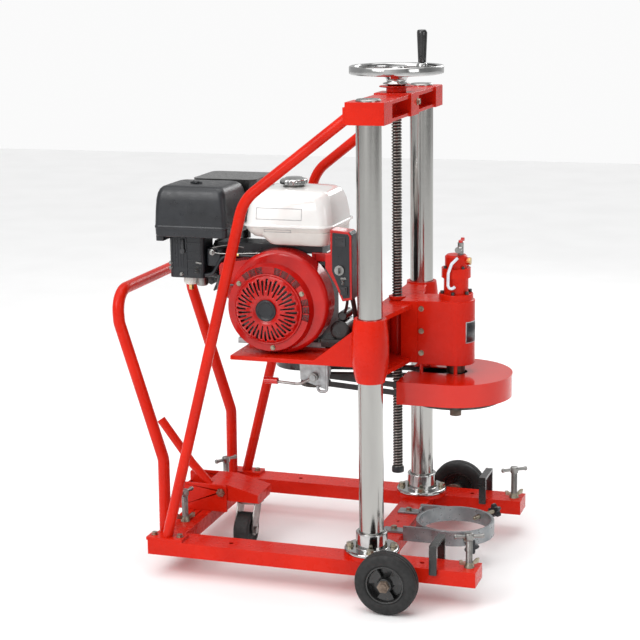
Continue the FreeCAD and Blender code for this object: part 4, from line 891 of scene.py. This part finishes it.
def studio():
    """A pale floor, a softly banded sky for the chrome to reflect, a soft high sun and four area lamps."""
    floor = bmesh_object("floor", lambda bm: bmesh.ops.create_grid(bm, x_segments=1, y_segments=1, size=9))
    material, tree, shader = new_material("studio_floor")
    tone = ramp(tree, noise(tree, 3, 2), [(0.3, grey(0.92)), (0.7, grey(0.95))])
    tree.links.new(tone, shader.inputs["Base Color"])
    shader.inputs["Roughness"].default_value = 0.75
    floor.data.materials.append(material)
    world = bpy.data.worlds.new("studio")
    world.use_nodes = True
    sky = world.node_tree
    around = add_node(sky, "ShaderNodeTexGradient", gradient_type="RADIAL")
    heading = add_node(sky, "ShaderNodeTexCoord")
    sky.links.new(heading.outputs["Generated"], around.inputs["Vector"])
    bands = ((0, 0.5), (0.13, 0.5), (0.23, 1.0), (0.36, 0.3), (0.55, 0.3), (0.7, 0.6), (1, 0.5))
    strips = ramp(sky, around.outputs["Fac"], [(place, grey(level)) for place, level in bands])
    seen = add_node(sky, "ShaderNodeLightPath")
    mix = add_node(sky, "ShaderNodeMix", data_type="RGBA")
    sky.links.new(seen.outputs["Is Camera Ray"], mix.inputs[MIX_FACTOR])
    sky.links.new(strips, mix.inputs[MIX_A])
    mix.inputs[MIX_B].default_value = (0.96, 0.96, 0.96, 1)
    sky.links.new(mix.outputs[MIX_RESULT], sky.nodes["Background"].inputs["Color"])
    bpy.context.scene.world = world
    daylight = bpy.data.lights.new("daylight", "SUN")
    daylight.energy = 1.5
    daylight.angle = math.radians(70)
    sun = bpy.data.objects.new("daylight", daylight)
    sun.rotation_euler = (math.radians(18), math.radians(-14), 0)
    bpy.context.scene.collection.objects.link(sun)
    bpy.context.scene.view_settings.view_transform = "Standard"
    aim = Vector((0, 0, 0.7))
    for name, place, size, power in (("key", (-1.6, -3.2, 2.6), 1.8, 52), ("fill", (3.4, -2.0, 1.9), 1.6, 20),
                                     ("top", (0.3, 0.4, 3.6), 2.2, 24), ("rim", (1.0, 3.0, 2.4), 1.6, 34)):
        lamp = bpy.data.lights.new(name, "AREA")
        lamp.size = size
        lamp.energy = power
        obj = bpy.data.objects.new(name, lamp)
        obj.location = place
        obj.rotation_euler = (aim - Vector(place)).to_track_quat("-Z", "Y").to_euler()
        bpy.context.scene.collection.objects.link(obj)


def camera():
    """The photographed three-quarter view from the rig's right."""
    azimuth, elevation, roll = math.radians(18.24), math.radians(12.49), math.radians(-0.83)
    right = Vector((math.cos(azimuth), math.sin(azimuth), 0))
    back = Vector((math.sin(azimuth) * math.cos(elevation), -math.cos(azimuth) * math.cos(elevation),
                   math.sin(elevation)))
    up = back.cross(right)
    rolled_right = right * math.cos(roll) + up * math.sin(roll)
    rolled_up = -right * math.sin(roll) + up * math.cos(roll)
    lens = bpy.data.cameras.new("photo_view")
    lens.lens = 91.5
    lens.sensor_width = 36
    obj = bpy.data.objects.new("photo_view", lens)
    turn = Matrix((rolled_right, rolled_up, back)).transposed().to_4x4()
    stand = (1.3563, -4.1616, 1.6372)
    obj.matrix_world = Matrix.Translation(stand) @ turn
    bpy.context.scene.collection.objects.link(obj)
    bpy.context.scene.camera = obj


# ---------------------------------------------------------------- build

feed_screw()
handwheel()
handwheel_grip()
front_wheel(LEFT, "left")
front_wheel(RIGHT, "right")
for corner, bar_heading in (("front_left", 35), ("front_right", 20), ("rear_left", 60), ("rear_right", 80)):
    levelling_screw(corner, bar_heading)
ring_clamp(LEFT, "left")
ring_clamp(RIGHT, "right")
fuel_tank()
fuel_cap()
air_cleaner()
starter_cover()
starter_details()
fan_louvres()
control_box()
carburettor()
starter_motor()
nameplates()
studio()
camera()
